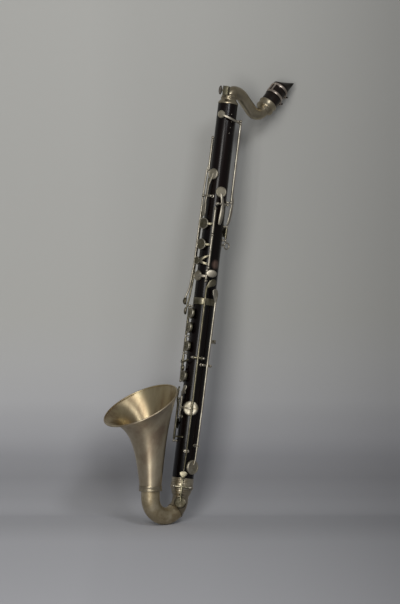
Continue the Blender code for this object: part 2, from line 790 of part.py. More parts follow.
def reed():
    """Cane reed on the table: full thickness at the heel, shaved down to the tip."""
    table = MOUTHPIECE_RADIUS - TABLE_DROP + GAP
    cut_start = MOUTHPIECE_LENGTH * 0.52
    stops = ((REED_HEEL + 0.001, 1.0), (cut_start, 1.0), (cut_start + 0.010, 0.55),
             (MOUTHPIECE_LENGTH - 0.001, 0.12))
    rings = []
    for along, share in stops:
        thick = (REED_THICKNESS - GAP) * share
        section = ((0.0, 1.0), (REED_EDGE, 1.0), (1.0, 0.55), (1.0, -0.55), (REED_EDGE, -1.0), (0.0, -1.0))
        rings.append([mouth_point(along, table + thick * rise, REED_HALF_WIDTH * side)
                      for rise, side in section])
    finished(loft(rings), "reed", CANE)


def ligature():
    """Two bands joined by a strap on top and by a pair of lugs on the reed's side."""
    inner = MOUTHPIECE_RADIUS + GAP
    outer = inner + LIGATURE_WALL
    band = LIGATURE_BAND / 2
    low, high = LIGATURE_STATIONS
    outline = [(outer, band), (outer, -band), (inner, -band), (inner, band)]
    bands = [turned(outline, frame(mouth_point(along), MOUTH_AXIS), 24) for along in (low, high)]
    pieces = []
    middle = (inner + outer) / 2
    for side in (-1.0, 1.0):
        angle = math.radians(side * LIGATURE_BAR_SPREAD)
        out = Vector((math.sin(angle), 0.0, 0.0)) - REED_SIDE * math.cos(angle)
        pieces.append(block(mouth_point((low + high) / 2) + out * middle,
                            (LIGATURE_WALL * 1.8, 0.0026, high - low), out, MOUTH_AXIS))
    for along in (low, high):
        for side in (-1.0, 1.0):
            pieces.append(block(mouth_point(along, outer + LUG_REACH / 2 - 0.0008, side * 0.0024),
                                (LUG_REACH, 0.0016, LIGATURE_BAND - 0.0004), REED_SIDE, MOUTH_AXIS))
    item = joined(bands[0], bands[1], *pieces)
    reach = outer + LUG_REACH * 0.55
    holes = [cylinder(mouth_point(along, reach, -0.006), mouth_point(along, reach, 0.006), SCREW_RADIUS + RUN)
             for along in (low, high)]
    finished(cut(item, *holes), "ligature", SATIN)


def block(centre, size, x_way, z_way):
    """A box with its own X, Y and Z sizes."""
    work = bmesh.new()
    bmesh.ops.create_cube(work, size=1.0)
    mesh = bpy.data.meshes.new("block")
    work.to_mesh(mesh)
    work.free()
    mesh.transform(frame(centre, z_way, x_way) @ Matrix.Diagonal((*size, 1.0)))
    return show(mesh)


def ligature_screw(name, along):
    """Thumb screw through a band's lugs, with a flat wing for the fingers."""
    reach = MOUTHPIECE_RADIUS + GAP + LIGATURE_WALL + LUG_REACH * 0.55
    start = mouth_point(along, reach, -SCREW_SIDE)
    end = mouth_point(along, reach, 0.0058)
    shank = cylinder(start, end, SCREW_RADIUS, POST_SIDES)
    collar = cylinder(mouth_point(along, reach, -0.0060), mouth_point(along, reach, -0.0036),
                      SCREW_RADIUS * 1.7, POST_SIDES)
    wing = ellipse_button(start, Vector((0.0, 0.0, 1.0)).cross(Vector((1.0, 0.0, 0.0))), WING_LENGTH / 2,
                          WING_WIDTH / 2, WING_THICKNESS, REED_SIDE)
    item = joined(shank, collar, wing)
    finished(item, name, DARK)
    hinged(item, name + "_axis", mouth_point(along, reach), Vector((1.0, 0.0, 0.0)))


def lyre_parts():
    """Square socket for a music lyre beside the neck's collar, clamped by a wing screw."""
    out = outward(LYRE_TURN)
    way = outward(LYRE_SCREW_TURN)
    side = around(LYRE_TURN)
    width = 2 * LYRE_HALF_WIDTH
    reach = NECK_COLLAR_RADIUS + 0.0008 + GAP + LYRE_HALF_WIDTH
    foot = neck_point(0.0, TOP_FERRULE_HEIGHT + GAP) + out * reach
    middle = foot + UP * (LYRE_HEIGHT / 2 + 0.0016)
    body = block(middle, (width, width, LYRE_HEIGHT), side, UP)
    slot = block(middle + UP * 0.002, (LYRE_SLOT, LYRE_SLOT, LYRE_HEIGHT), side, UP)
    boss_end = middle + way * (LYRE_HALF_WIDTH * 1.3)
    boss = cylinder(middle + way * (LYRE_SLOT * 0.7), boss_end, LYRE_SCREW_RADIUS * 2.1, 12)
    hole = cylinder(middle, boss_end + way * 0.004, LYRE_SCREW_RADIUS + RUN, 12)
    finished(cut(joined(body, boss), slot, hole), "lyre_holder", SATIN)
    start = middle + way * (LYRE_SLOT * 0.25)
    end = boss_end + way * LYRE_SCREW_LENGTH * 0.5
    shank = cylinder(start, end, LYRE_SCREW_RADIUS, POST_SIDES)
    wing_middle = boss_end + way * (GAP + LYRE_SCREW_LENGTH * 0.35)
    wing = ellipse_button(wing_middle, way.cross(UP), LYRE_WING_LENGTH / 2, LYRE_SCREW_LENGTH * 0.33,
                          LYRE_SCREW_RADIUS * 1.5, UP)
    screw = joined(shank, wing)
    finished(screw, "lyre_screw", DARK)
    hinged(screw, "lyre_screw_axis", start, way)


# Bow and bell

BOW_TOP = BODY_END + GAP + COLLAR_LENGTH


def bow_centre(angle):
    """Centre line of the bow: down from the wood and round to the bell, by the angle swept."""
    start = from_axis(BOW_TOP + BOW_DROP - COLLAR_LENGTH, 0.0, 0.0)
    turn = math.radians(angle)
    return start + Vector((0.0, -BOW_RADIUS * (1.0 - math.cos(turn)), -BOW_RADIUS * math.sin(turn)))


def bow_way(angle):
    turn = math.radians(angle)
    return Vector((0.0, -math.sin(turn), -math.cos(turn)))


BOW_SWEEP = 180.0 - BELL_LEAN


def bow_tube_radius(angle):
    share = max(angle, 0.0) / BOW_SWEEP
    return BOW_TUBE_START + (BOW_TUBE_END - BOW_TUBE_START) * share


def arc_rings(start, end, count, inset, sides=18):
    """Rings square to the bow's centre line between two angles."""
    rings = []
    for i in range(count + 1):
        angle = start + (end - start) * i / count
        rings.append(ring_at(bow_centre(angle), bow_way(angle), bow_tube_radius(angle) - inset, sides))
    return rings


def leg_ring(along, inset, sides=18):
    """A ring on the straight leg between the bow's bend and the bell."""
    point = bow_centre(BOW_SWEEP) + bow_way(BOW_SWEEP) * along
    return ring_at(point, bow_way(BOW_SWEEP), BOW_TUBE_END - inset, sides)


def bow_elbow():
    """First piece of the bow: tenon, turned collar, the start of the bend, and the low hole's chimney."""
    tenon_top = -(BODY_END - BOW_TENON_LENGTH)
    collar_top = -(BODY_END + GAP)
    collar_end = collar_top - COLLAR_LENGTH
    radius = BOW_TUBE_START
    step = COLLAR_RADIUS - 0.0010
    outline = [(0.0, tenon_top), (BOW_TENON_RADIUS, tenon_top), (BOW_TENON_RADIUS, collar_top),
               (COLLAR_RADIUS, collar_top), (COLLAR_RADIUS, collar_top - 0.0034), (step, collar_top - 0.0044),
               (step, collar_top - 0.0060), (radius + 0.0006, collar_end), (radius, collar_end - 0.0012),
               (radius, -bow_start_station()), (0.0, -bow_start_station())]
    collar = turned(outline, body_frame(0.0), 20)
    bend = loft(arc_rings(-0.5, ELBOW_SWEEP, 4, 0.0))
    ring = arc_ring(ELBOW_SWEEP - BOW_RING_SWEEP, ELBOW_SWEEP, BOW_RING_PROUD)
    chimney = turned([(0.0, BOW_SEAT), (BOW_CUP - 2 * PAD_INSET, BOW_SEAT), (BOW_CUP - 2 * PAD_INSET, 0.004),
                      (0.0, 0.004)], bow_hole_frame(), 12)
    item = joined(collar, bend, ring, chimney)
    inside = loft(arc_rings(-0.5, ELBOW_SWEEP + 1.0, 4, BOW_WALL))
    shaft = cylinder(from_axis(BODY_END - BOW_TENON_LENGTH - 0.003, 0.0, 0.0),
                     from_axis(bow_start_station(), 0.0, 0.0), BORE_RADIUS + 0.0006, 16)
    drill = turned([(0.0, BOW_SEAT + 0.003), (BOW_CUP * HOLE_SHARE, BOW_SEAT + 0.003),
                    (BOW_CUP * HOLE_SHARE, 0.0), (0.0, 0.0)], bow_hole_frame(), 8)
    finished(cut(item, shaft, inside, drill), "bow_elbow", SATIN)


def bow_start_station():
    return BOW_TOP + BOW_DROP - COLLAR_LENGTH


def arc_ring(start, end, proud):
    """A soldered band round the bow between two angles."""
    rings = arc_rings(start, end, 2, -proud)
    return loft(rings)


BOW_HOLE_ANGLE = 14.5
BOW_HOLE_TURN = -34.0
BOW_SEAT = BOW_TUBE_START + 0.0016


def bow_normal(angle, turn):
    """Outward direction on the bent tube, at an angle along the bend and a turn round the tube."""
    around_tube = math.radians(turn)
    bend = math.radians(angle)
    front = Vector((0.0, -math.cos(bend), math.sin(bend)))
    return Vector((math.cos(around_tube), 0.0, 0.0)) - front * math.sin(around_tube)


def bow_hole_frame():
    return frame(bow_centre(BOW_HOLE_ANGLE), bow_normal(BOW_HOLE_ANGLE, BOW_HOLE_TURN))


def bow():
    """Main bend, from the ring at the elbow round to the bell."""
    gap = math.degrees(GAP / BOW_RADIUS)
    outer = loft(arc_rings(ELBOW_SWEEP + gap, BOW_SWEEP, 8, 0.0) + [leg_ring(BOW_LEG, 0.0)])
    inner = loft(arc_rings(ELBOW_SWEEP + gap - 1.0, BOW_SWEEP, 8, BOW_WALL)
                 + [leg_ring(BOW_LEG + BOW_WALL, BOW_WALL)])
    finished(cut(outer, inner), "bow", SATIN)


def bell_base():
    """Where the bow's leg ends and the bell begins."""
    return bow_centre(BOW_SWEEP) + bow_way(BOW_SWEEP) * BOW_LEG


def bell_stops(count, steps=6):
    """Centre, direction and share along the bell, which leans further forward as it rises.

    The stops lie closer together towards the mouth, where the wall curves most.
    """
    point = bell_base()
    stops = [(point.copy(), bow_way(BOW_SWEEP), 0.0)]
    share = 0.0
    for i in range(1, count + 1):
        stride = ((i / count) ** 0.75 - share) / steps
        for _ in range(steps):
            share += stride
            lean = math.radians(BELL_LEAN + (MOUTH_LEAN - BELL_LEAN) * share ** BELL_LEAN_POWER)
            way = Vector((0.0, -math.sin(lean), math.cos(lean)))
            point += way * (stride * BELL_LENGTH)
        stops.append((point.copy(), way, share))
    return stops


def bell_radius(share):
    growth = BELL_MOUTH - BELL_THROAT
    return BELL_THROAT + growth * (BELL_LINEAR_SHARE * share
                                   + (1.0 - BELL_LINEAR_SHARE) * share ** BELL_FLARE_POWER)


def bell():
    """Flared bell: a thin wall that leans forward as it opens, with a wire bead at the rim."""
    sides = 24
    stops = bell_stops(9)
    stops[0] = (stops[0][0] + stops[0][1] * GAP, stops[0][1], 0.0)
    outer = [ring_at(p, w, bell_radius(share), sides) for p, w, share in stops]
    inner = [ring_at(p, w, bell_radius(share) - BELL_WALL, sides) for p, w, share in stops]
    work = bmesh.new()
    outer_rows = [[work.verts.new(p) for p in ring] for ring in outer]
    inner_rows = [[work.verts.new(p) for p in ring] for ring in inner]
    rows = outer_rows + inner_rows[::-1]
    for upper, lower in zip(rows, rows[1:] + rows[:1]):
        for i in range(sides):
            j = (i + 1) % sides
            work.faces.new((upper[i], upper[j], lower[j], lower[i]))
    bmesh.ops.recalc_face_normals(work, faces=work.faces)
    mesh = bpy.data.meshes.new("bell")
    work.to_mesh(mesh)
    work.free()
    body = show(mesh)
    point, way, _ = stops[-1]
    bead = turned(bead_outline(BELL_MOUTH - BELL_WALL / 2, BELL_RIM_RADIUS), frame(point, way), sides)
    finished(joined(body, bead), "bell", SATIN)


def bead_outline(radius, thick, corners=6):
    """A round wire's section, listed down its outer side."""
    return [(radius + thick * math.cos(math.radians(60.0 - 360.0 * k / corners)),
             thick * math.sin(math.radians(60.0 - 360.0 * k / corners))) for k in range(corners)]


def bell_ring():
    """Double ring that covers the joint of bow and bell."""
    inner = BELL_THROAT + 0.0004 + GAP
    outer = inner + BELL_RING_PROUD
    half = BELL_RING_LENGTH / 2
    outline = [(outer, half), (outer, half * 0.55), (outer - 0.0004, half * 0.45),
               (outer - 0.0004, -half * 0.45), (outer, -half * 0.55), (outer, -half), (inner, -half),
               (inner, half)]
    finished(turned(outline, frame(bell_base(), bow_way(BOW_SWEEP)), 24), "bell_ring", SATIN)


# Back of the body

def strap_ring():
    """Ring for the neck strap, brazed upright on a plate that is screwed to the back."""
    plate_out = wood_radius(STRAP_STATION) + GAP
    pieces = back_plate(STRAP_STATION, RING_PLATE_LENGTH, RING_PLATE_WIDTH, plate_out)
    hoop_radius = RING_EYE_RADIUS + RING_WIRE_RADIUS
    hoop = turned(bead_outline(hoop_radius, RING_WIRE_RADIUS, 8),
                  frame(Vector((0.0, 0.0, 0.0)), Vector((1.0, 0.0, 0.0))), 16)
    foot = from_axis(STRAP_STATION, 90.0, plate_out + PLATE_THICKNESS * 0.5)
    stem_end = Vector((0.0, -hoop_radius, 0.0))
    stem = wire([foot, stem_end], [0.0021, 0.0013])
    finished(joined(pieces, hoop, stem), "strap_ring", BRIGHT)


def back_plate(station, length, width, inner):
    """A curved plate that lies on the back of the wood."""
    half = math.degrees(width / 2 / inner)
    count = 6
    work = bmesh.new()
    rows = []
    for reach, z in ((inner, length / 2), (inner + PLATE_THICKNESS, length / 2 - 0.0006),
                     (inner + PLATE_THICKNESS, -length / 2 + 0.0006), (inner, -length / 2)):
        rows.append([work.verts.new(from_axis(station - z, 90.0 + half * (2 * i / count - 1), reach))
                     for i in range(count + 1)])
    for upper, lower in zip(rows, rows[1:] + rows[:1]):
        for i in range(count):
            work.faces.new((upper[i], upper[i + 1], lower[i + 1], lower[i]))
    work.faces.new([row[0] for row in rows])
    work.faces.new([row[-1] for row in rows][::-1])
    bmesh.ops.recalc_face_normals(work, faces=work.faces)
    mesh = bpy.data.meshes.new("plate")
    work.to_mesh(mesh)
    work.free()
    return show(mesh)


def thumb_rest():
    """Hook for the right thumb: a plate on the back with a flat ledge and a turned-up lip."""
    station = LOWER_TOP + THUMB_REST_STATION
    inner = wood_radius(station) + GAP
    plate = back_plate(station, THUMB_PLATE_LENGTH, THUMB_REST_WIDTH * 0.8, inner)
    reach = inner + THUMB_REST_REACH
    thick = 0.0022
    ledge = block(from_axis(station, 90.0, (inner + 0.0006 + reach) / 2),
                  (reach - inner - 0.0006, THUMB_REST_WIDTH, thick), Vector((0.0, 1.0, 0.0)), UP)
    lip = block(from_axis(station - 0.0020, 90.0, reach - thick / 2),
                (thick, THUMB_REST_WIDTH, thick + 0.0034), Vector((0.0, 1.0, 0.0)), UP)
    finished(joined(plate, ledge, lip), "thumb_rest", BRIGHT)


# Keys of the upper joint

THUMB_AXLE_STATION = upper(0.6603)
THUMB_AXLE_HALF = 0.0105
REGISTER_TOUCH_CLEAR = 0.0010


def register_key():
    top = upper(0.0809)
    low = upper(0.5012)
    turn = 41.0
    axle = Axle((top + low) / 2, turn, (low - top) / 2, height=0.0081)
    axle.posts("register_posts")
    start = -axle.half + BALL_RADIUS + GAP
    end = axle.half - BALL_RADIUS - GAP
    hole_station, hole_turn, radius = REGISTER_HOLE
    root = top + 0.0052
    stops = [(root, turn, 0.0081)]
    for share, height in ((0.16, 0.0072), (0.34, 0.0052), (0.55, 0.0044), (0.75, 0.0042),
                          (0.90, 0.0040), (1.0, 0.0036)):
        stops.append((root + (hole_station - root) * share, turn + (hole_turn - turn) * share, height))
    arm = strip([(*stop, ARM_HALF_WIDTH, ARM_HALF_THICKNESS) for stop in stops])
    span = THUMB_AXLE_STATION - THUMB_AXLE_HALF - BALL_RADIUS - REGISTER_TOUCH_CLEAR - low
    touch = strip([(low - 0.0100, 43.0, 0.0090, 0.0014, 0.0010), (low - 0.0040, 48.0, 0.0100, 0.0016, 0.0009),
                   (low + span * 0.09, 51.0, 0.0096, 0.0020, 0.0008),
                   (low + span * 0.29, 53.0, 0.0088, 0.0028, 0.0008),
                   (low + span * 0.58, 55.0, 0.0080, 0.0028, 0.0008),
                   (low + span * 0.84, 55.0, 0.0068, 0.0026, 0.0007),
                   (low + span, 49.0, 0.0052, 0.0020, 0.0006)])
    return key("register_key", axle, start, end, [arm, pad_cup(*REGISTER_HOLE), touch])


def throat_g_sharp_key():
    axle = Axle(upper(0.5170), -8.0, 0.0090, across=True, height=0.0056)
    axle.posts("throat_g_sharp_posts")
    end = axle.half - BALL_RADIUS - GAP
    root = axle.station
    station, turn, radius = THROAT_G_SHARP_HOLE
    arm = strip([(root, -10.0, 0.0062, 0.0024, 0.0010), (root - 0.0076, -15.0, 0.0060, 0.0022, 0.0010),
                 (station + 0.002, turn, CUP_TOP - 0.0002, 0.0018, 0.0009)])
    touch = strip([(root, -10.0, 0.0064, 0.0020, 0.0010), (root + 0.0054, -11.0, 0.0078, 0.0028, 0.0009),
                   (root + 0.0134, -12.0, 0.0080, 0.0034, 0.0008),
                   (root + 0.0234, -13.0, 0.0074, 0.0034, 0.0008),
                   (root + 0.0304, -14.0, 0.0062, 0.0026, 0.0007),
                   (root + 0.0324, -14.0, 0.0056, 0.0016, 0.0006)])
    return key("throat_g_sharp_key", axle, -end, end, [arm, touch, pad_cup(station, turn, radius)])


def throat_a_key():
    axle = Axle(upper(0.4813), -86.0, 0.0088, across=True)
    axle.posts("throat_a_posts")
    end = axle.half - BALL_RADIUS - GAP
    root = axle.station
    station, turn, radius = THROAT_A_HOLE
    arm = strip([(root, -86.0, 0.0058, 0.0020, 0.0010), (root - 0.0158, -82.0, 0.0062, 0.0018, 0.0010),
                 (station + 0.006, turn - 5.0, CUP_TOP + 0.0002, 0.0017, 0.0009),
                 (station - 0.001, turn, CUP_TOP - 0.0004, 0.0014, 0.0009)])
    touch = strip([(root, -86.0, 0.0060, 0.0020, 0.0010), (root + 0.0082, -86.5, 0.0072, 0.0024, 0.0009),
                   (root + 0.0182, -87.0, 0.0072, 0.0034, 0.0008),
                   (root + 0.0272, -88.0, 0.0064, 0.0034, 0.0008),
                   (root + 0.0317, -88.0, 0.0056, 0.0018, 0.0007)])
    return key("throat_a_key", axle, -end, end, [arm, touch, pad_cup(station, turn, radius)])


def trill_key(name, hole, rod_turn, top, low, path, button):
    axle = Axle((top + low) / 2, rod_turn, (low - top) / 2)
    axle.posts(name.replace("_key", "_posts"))
    start = -axle.half + BALL_RADIUS + GAP
    end = axle.half - BALL_RADIUS - GAP
    station, turn, radius = hole
    target = turn if turn < 0 else turn - 360.0
    arm = strip([(station, rod_turn, AXLE_HEIGHT, 0.0016, 0.0010),
                 (station, (rod_turn + target) / 2, 0.0052, 0.0016, 0.0009),
                 (station, target, CUP_TOP - 0.0003, 0.0014, 0.0008)])
    stem = lever(path)
    last = path[-1]
    touch = ellipse_button(over(*button), outward(button[1]), 0.0062, 0.0040, 0.0016, UP)
    link = lever([last, (button[0] - 0.004, button[1], button[2], 0.0013)])
    return key(name, axle, start, end, [arm, stem, link, touch, pad_cup(station, turn, radius)])


def upper_trill_key():
    top = upper(0.1740)
    low = upper(0.3500)
    path = [(low - 0.0120, -158.0, 0.0056, 0.0012), (low - 0.0020, -149.0, 0.0062, 0.0014),
            (upper(0.4292), -145.0, 0.0064, 0.0015), (upper(0.6273), -137.0, 0.0062, 0.0015),
            (upper(0.8254), -129.0, 0.0060, 0.0015), (upper(0.9574), -128.0, 0.0085, 0.0014)]
    return trill_key("upper_trill_key", UPPER_TRILL_HOLE, -160.0, top, low, path,
                     (LOWER_TOP + 0.0073, -128.0, 0.0135))


def lower_trill_key():
    top = upper(0.3731)
    low = upper(0.5282)
    path = [(low - 0.0120, -168.0, 0.0056, 0.0012), (low - 0.0020, -161.0, 0.0062, 0.0014),
            (upper(0.5777), -158.0, 0.0064, 0.0015), (upper(0.7263), -151.0, 0.0062, 0.0015),
            (upper(0.9079), -145.0, 0.0056, 0.0015), (LOWER_TOP + 0.0018, -142.0, 0.0074, 0.0014)]
    return trill_key("lower_trill_key", LOWER_TRILL_HOLE, -170.0, top, low, path,
                     (LOWER_TOP + 0.0223, -140.0, 0.0100))


LEFT_ROD_TURN = -38.0
LEFT_ROD_TOP = upper(0.5414)
LEFT_ROD_LOW = upper(0.8481)
LEFT_ROD_MIDDLE = upper(0.6784)
LEFT_ROD_SPLIT = upper(0.7659)
PLATEAU_OPEN = -PLATEAU_TRAVEL


def plateau_arm(rod_turn, hole, spread=0.0):
    """Arm from a rod to the crown of a plateau cup, in its closed place."""
    station, turn, radius = hole
    return strip([(station + spread, rod_turn, AXLE_HEIGHT, 0.0020, 0.0010),
                  (station + spread * 0.6, rod_turn + (turn - rod_turn) * 0.4, 0.0056, 0.0022, 0.0009),
                  (station, rod_turn + (turn - rod_turn) * 0.75, 0.0052, 0.0024, 0.0009),
                  (station, turn, CUP_TOP - 0.0004, 0.0018, 0.0008)])


def left_plateaus():
    axle = Axle((LEFT_ROD_TOP + LEFT_ROD_LOW) / 2, LEFT_ROD_TURN, (LEFT_ROD_LOW - LEFT_ROD_TOP) / 2)
    middle = LEFT_ROD_MIDDLE - axle.station
    axle.posts("left_plateau_posts", middle)
    low = axle.half - BALL_RADIUS - GAP
    high = middle + BALL_RADIUS + GAP
    split = LEFT_ROD_SPLIT - axle.station
    spans = [(-low, middle - BALL_RADIUS - GAP), (high, split - GAP), (split, low)]
    for number, (hole, span) in enumerate(zip(LEFT_HOLES, spans), 1):
        pieces = [pad_cup(*hole)]
        if number < 3:
            pieces.append(plateau_arm(LEFT_ROD_TURN, hole))
        else:
            pieces.append(plateau_arm(LEFT_ROD_TURN, hole, spread=-0.0090))
            pieces.append(plateau_arm(LEFT_ROD_TURN, hole, spread=0.0050))
        key("left_plateau_%d" % number, axle, *span, pieces, PLATEAU_OPEN)


def thumb_key():
    turn = 48.0
    axle = Axle(THUMB_AXLE_STATION, turn, THUMB_AXLE_HALF)
    axle.posts("thumb_key_posts")
    end = axle.half - BALL_RADIUS - GAP
    pieces = [pad_cup(*THUMB_HOLE), plateau_arm(turn, THUMB_HOLE, 0.0020)]
    return key("thumb_key", axle, -end, end, pieces, PLATEAU_TRAVEL)


def c_sharp_key():
    turn = -42.0
    axle = Axle(upper(0.8897), turn, 0.0078)
    axle.posts("c_sharp_posts")
    end = axle.half - BALL_RADIUS - GAP
    root = axle.station
    arm = plateau_arm(turn, C_SHARP_HOLE)
    stalk = strip([(root - 0.0005, turn, 0.0052, 0.0018, 0.0010),
                   (root - 0.0030, -35.0, 0.0078, 0.0020, 0.0010),
                   (root - 0.0040, -27.0, 0.0086, 0.0022, 0.0008)])
    button = ellipse_button(over(root - 0.0042, -24.0, 0.0085), outward(-26.0), 0.0084, 0.0060,
                            0.0018, around(-24.0))
    return key("c_sharp_key", axle, -end, end, [arm, stalk, button, pad_cup(*C_SHARP_HOLE)])


# Little finger levers and the bow's key

BOW_AXLE_STATION = BODY_END - BEAD_FROM_END
BOW_KEY_SEAT = LOWER_RADIUS + FERRULE_PROUD + BEAD_PROUD + GAP
BOW_AXLE_HEIGHT = 0.0030
BOW_KEY_TRAVEL = 11.0
TONGUE_ARM = 0.0195
TONGUE_THICKNESS = 0.0012
LEVER_END_HEIGHT = 0.0024
LEVER_END_RADIUS = 0.0010


def e_lever():
    turn = -36.0
    station = lower(0.3145)
    axle = Axle(station, turn, 0.0087, across=True)
    axle.posts("e_lever_posts")
    end = axle.half - BALL_RADIUS - GAP
    top = upper(0.9383)
    path = [(top, -33.0, 0.0090, 0.0016), (top + 0.0060, turn, 0.0086, 0.0018),
            (lower(0.0421), turn, 0.0078, 0.0017), (lower(0.2134), turn, 0.0066, 0.0017),
            (station, turn, 0.0064, 0.0018),
            (lower(0.4324), turn, 0.0084, 0.0016), (lower(0.5100), turn, 0.0108, 0.0015),
            (lower(0.5784), turn, 0.0112, 0.0014), (lower(0.6470), turn, 0.0106, 0.0014),
            (lower(0.7021), turn, 0.0085, 0.0013), (lower(0.8032), turn, 0.0058, 0.0012),
            (lower(0.8807), -37.0, 0.0026, LEVER_END_RADIUS),
            (BOW_AXLE_STATION - TONGUE_ARM, -38.0, LEVER_END_HEIGHT, LEVER_END_RADIUS)]
    stem = lever(path)
    spoon = strip([(top + 0.0030, -33.0, 0.0092, 0.0018, 0.0010),
                   (top - 0.0010, -26.0, 0.0094, 0.0038, 0.0009),
                   (top - 0.0045, -17.0, 0.0090, 0.0054, 0.0008),
                   (top - 0.0058, -8.0, 0.0082, 0.0050, 0.0008),
                   (top - 0.0060, -1.0, 0.0074, 0.0026, 0.0007)])
    return key("e_lever", axle, -end, end, [stem, spoon])


def bow_key():
    turn = -38.0
    axle = Axle(BOW_AXLE_STATION, turn, 0.0128, True, BOW_AXLE_HEIGHT, BOW_KEY_SEAT)
    axle.posts("bow_key_posts")
    end = axle.half - BALL_RADIUS - 2 * GAP
    seat = bow_hole_frame() @ Matrix.Translation((0.0, 0.0, BOW_SEAT + GAP))
    cup = cup_on(seat, BOW_CUP)
    crown = seat @ Vector((0.0, 0.0, PAD_THICKNESS + CUP_HEIGHT - 0.0003))
    crown_station = STRAP_STATION - crown.z
    crown_height = Vector((crown.x, crown.y - AXIS_Y)).length - wood_radius(BODY_END)
    crown_turn = math.degrees(math.atan2(crown.y - AXIS_Y, crown.x))
    axle_height = axle.reach - wood_radius(BODY_END)
    arm = strip([(axle.station, turn, axle_height + 0.0006, 0.0022, 0.0010),
                 (axle.station + 0.009, turn, axle_height - 0.0002, 0.0017, 0.0010),
                 (axle.station + 0.016, turn, axle_height - 0.0022, 0.0016, 0.0010),
                 (crown_station, crown_turn, crown_height, 0.0014, 0.0009)])
    drop = TONGUE_ARM * 1.2 * math.sin(math.radians(BOW_KEY_TRAVEL))
    lifted = LEVER_END_HEIGHT + LEVER_END_RADIUS + GAP + TONGUE_THICKNESS + drop
    tongue = strip([(axle.station, turn, axle_height + 0.0006, 0.0020, 0.0010),
                    (axle.station - TONGUE_ARM * 0.55, turn, (axle_height + lifted) / 2 + 0.0006,
                     0.0018, 0.0009),
                    (axle.station - TONGUE_ARM * 0.76, turn, lifted, 0.0030, 0.0008),
                    (axle.station - TONGUE_ARM * 0.92, turn, lifted, 0.0056, 0.0008),
                    (axle.station - TONGUE_ARM * 1.08, turn, lifted, 0.0062, 0.0008),
                    (axle.station - TONGUE_ARM * 1.20, turn, lifted, 0.0036, 0.0007)])
    return key("bow_key", axle, -end, end, [arm, tongue, cup], -BOW_KEY_TRAVEL)


def f_sharp_lever():
    turn = 8.0
    station = lower(0.3482)
    axle = Axle(station, turn, 0.0087, across=True)
    axle.posts("f_sharp_lever_posts")
    end = axle.half - BALL_RADIUS - GAP
    top = upper(0.9878)
    hole_station, hole_turn, radius = F_SHARP_HOLE
    path = [(top, 5.0, 0.0088, 0.0018), (top + 0.0300, turn, 0.0072, 0.0017),
            (station, turn, 0.0064, 0.0018), (lower(0.5504), turn, 0.0064, 0.0016),
            (lower(0.7459), turn, 0.0058, 0.0015),
            (hole_station - 0.0110, hole_turn + 3.5, 0.0056, 0.0014),
            (hole_station - 0.0030, hole_turn + 2.0, CUP_TOP - 0.0002, 0.0012)]
    stem = lever(path)
    spoon = strip([(top + 0.0100, 6.0, 0.0086, 0.0018, 0.0010), (top + 0.0020, 3.0, 0.0092, 0.0040, 0.0009),
                   (top - 0.0040, 0.0, 0.0092, 0.0050, 0.0008), (top - 0.0095, -3.0, 0.0084, 0.0038, 0.0008),
                   (top - 0.0110, -4.0, 0.0080, 0.0018, 0.0007)])
    return key("f_sharp_lever", axle, -end, end, [stem, spoon, pad_cup(*F_SHARP_HOLE)])


def lever_guide(name, station, turn, half_gap):
    """Fork of two pegs on a small plate that keeps a long lever in line."""
    base = over(station, turn, GAP)
    plate = turned([(0.0, 0.0010), (0.0044, 0.0010), (0.0044, 0.0), (0.0, 0.0)],
                   frame(base, outward(turn)), 12)
    plate.data.transform(Matrix.Translation(base) @ frame(Vector(), UP, outward(turn))
                         @ Matrix.Diagonal((1.0, 1.0, 0.6, 1.0))
                         @ frame(Vector(), UP, outward(turn)).inverted() @ Matrix.Translation(-base))
    pegs = []
    for side in (-1.0, 1.0):
        foot = base + around(turn) * (side * half_gap) + outward(turn) * 0.0004
        outline = [(0.0, 0.0078), (0.0008, 0.0074), (0.0011, 0.0064), (0.0008, 0.0054), (0.0008, 0.0),
                   (0.0, 0.0)]
        pegs.append(turned(outline, frame(foot, outward(turn)), POST_SIDES))
    finished(joined(plate, *pegs), name, BRIGHT)


# Keys of the lower joint

RIGHT_ROD_TURN = -130.0
F_KEY_TRAVEL = 9.0


def right_plateaus():
    top = lower(0.0479)
    low = lower(0.4392)
    axle = Axle((top + low) / 2, RIGHT_ROD_TURN, (low - top) / 2)
    second = lower(0.2063) - axle.station
    third = lower(0.2949) - axle.station
    axle.posts("right_plateau_posts", second, third)
    clear = BALL_RADIUS + GAP
    split = lower(0.1213) - axle.station
    spans = [(-axle.half + clear, split - GAP), (split, second - clear), (second + clear, third - clear)]
    for number, (hole, span) in enumerate(zip(RIGHT_HOLES, spans), 1):
        key("right_plateau_%d" % number, axle, *span, [pad_cup(*hole), plateau_arm(RIGHT_ROD_TURN, hole)],
            PLATEAU_TRAVEL)
    vent_key(axle, third + clear, axle.half - clear)


def vent_key(axle, start, end):
    """Open-standing key with a crescent touch and a small tell-tale cup beside its own."""
    station = VENT_HOLE[0]
    crescent = []
    count = 6
    for i in range(count + 1):
        share = i / count
        crescent.append((station - 0.0260 + 0.0052 * math.sin(math.pi * share), RIGHT_ROD_TURN + 66.0 * share,
                         0.0058 + 0.0020 * math.sin(math.pi * share), 0.0015, 0.0008))
    small = cup_on(frame(over(station - 0.0123, -98.0, 0.0030), outward(-98.0)), 0.0044)
    bridge = strip([(station - 0.0110, -112.0, 0.0052, 0.0016, 0.0009),
                    (station - 0.0123, -98.0, 0.0050, 0.0016, 0.0009)])
    root = strip([(station - 0.0100, RIGHT_ROD_TURN, AXLE_HEIGHT, 0.0020, 0.0010),
                  (station - 0.0110, -110.0, 0.0052, 0.0018, 0.0009)])
    pieces = [pad_cup(*VENT_HOLE), plateau_arm(RIGHT_ROD_TURN, VENT_HOLE), strip(crescent), root,
              bridge, small]
    return key("vent_key", axle, start, end, pieces, PLATEAU_TRAVEL)


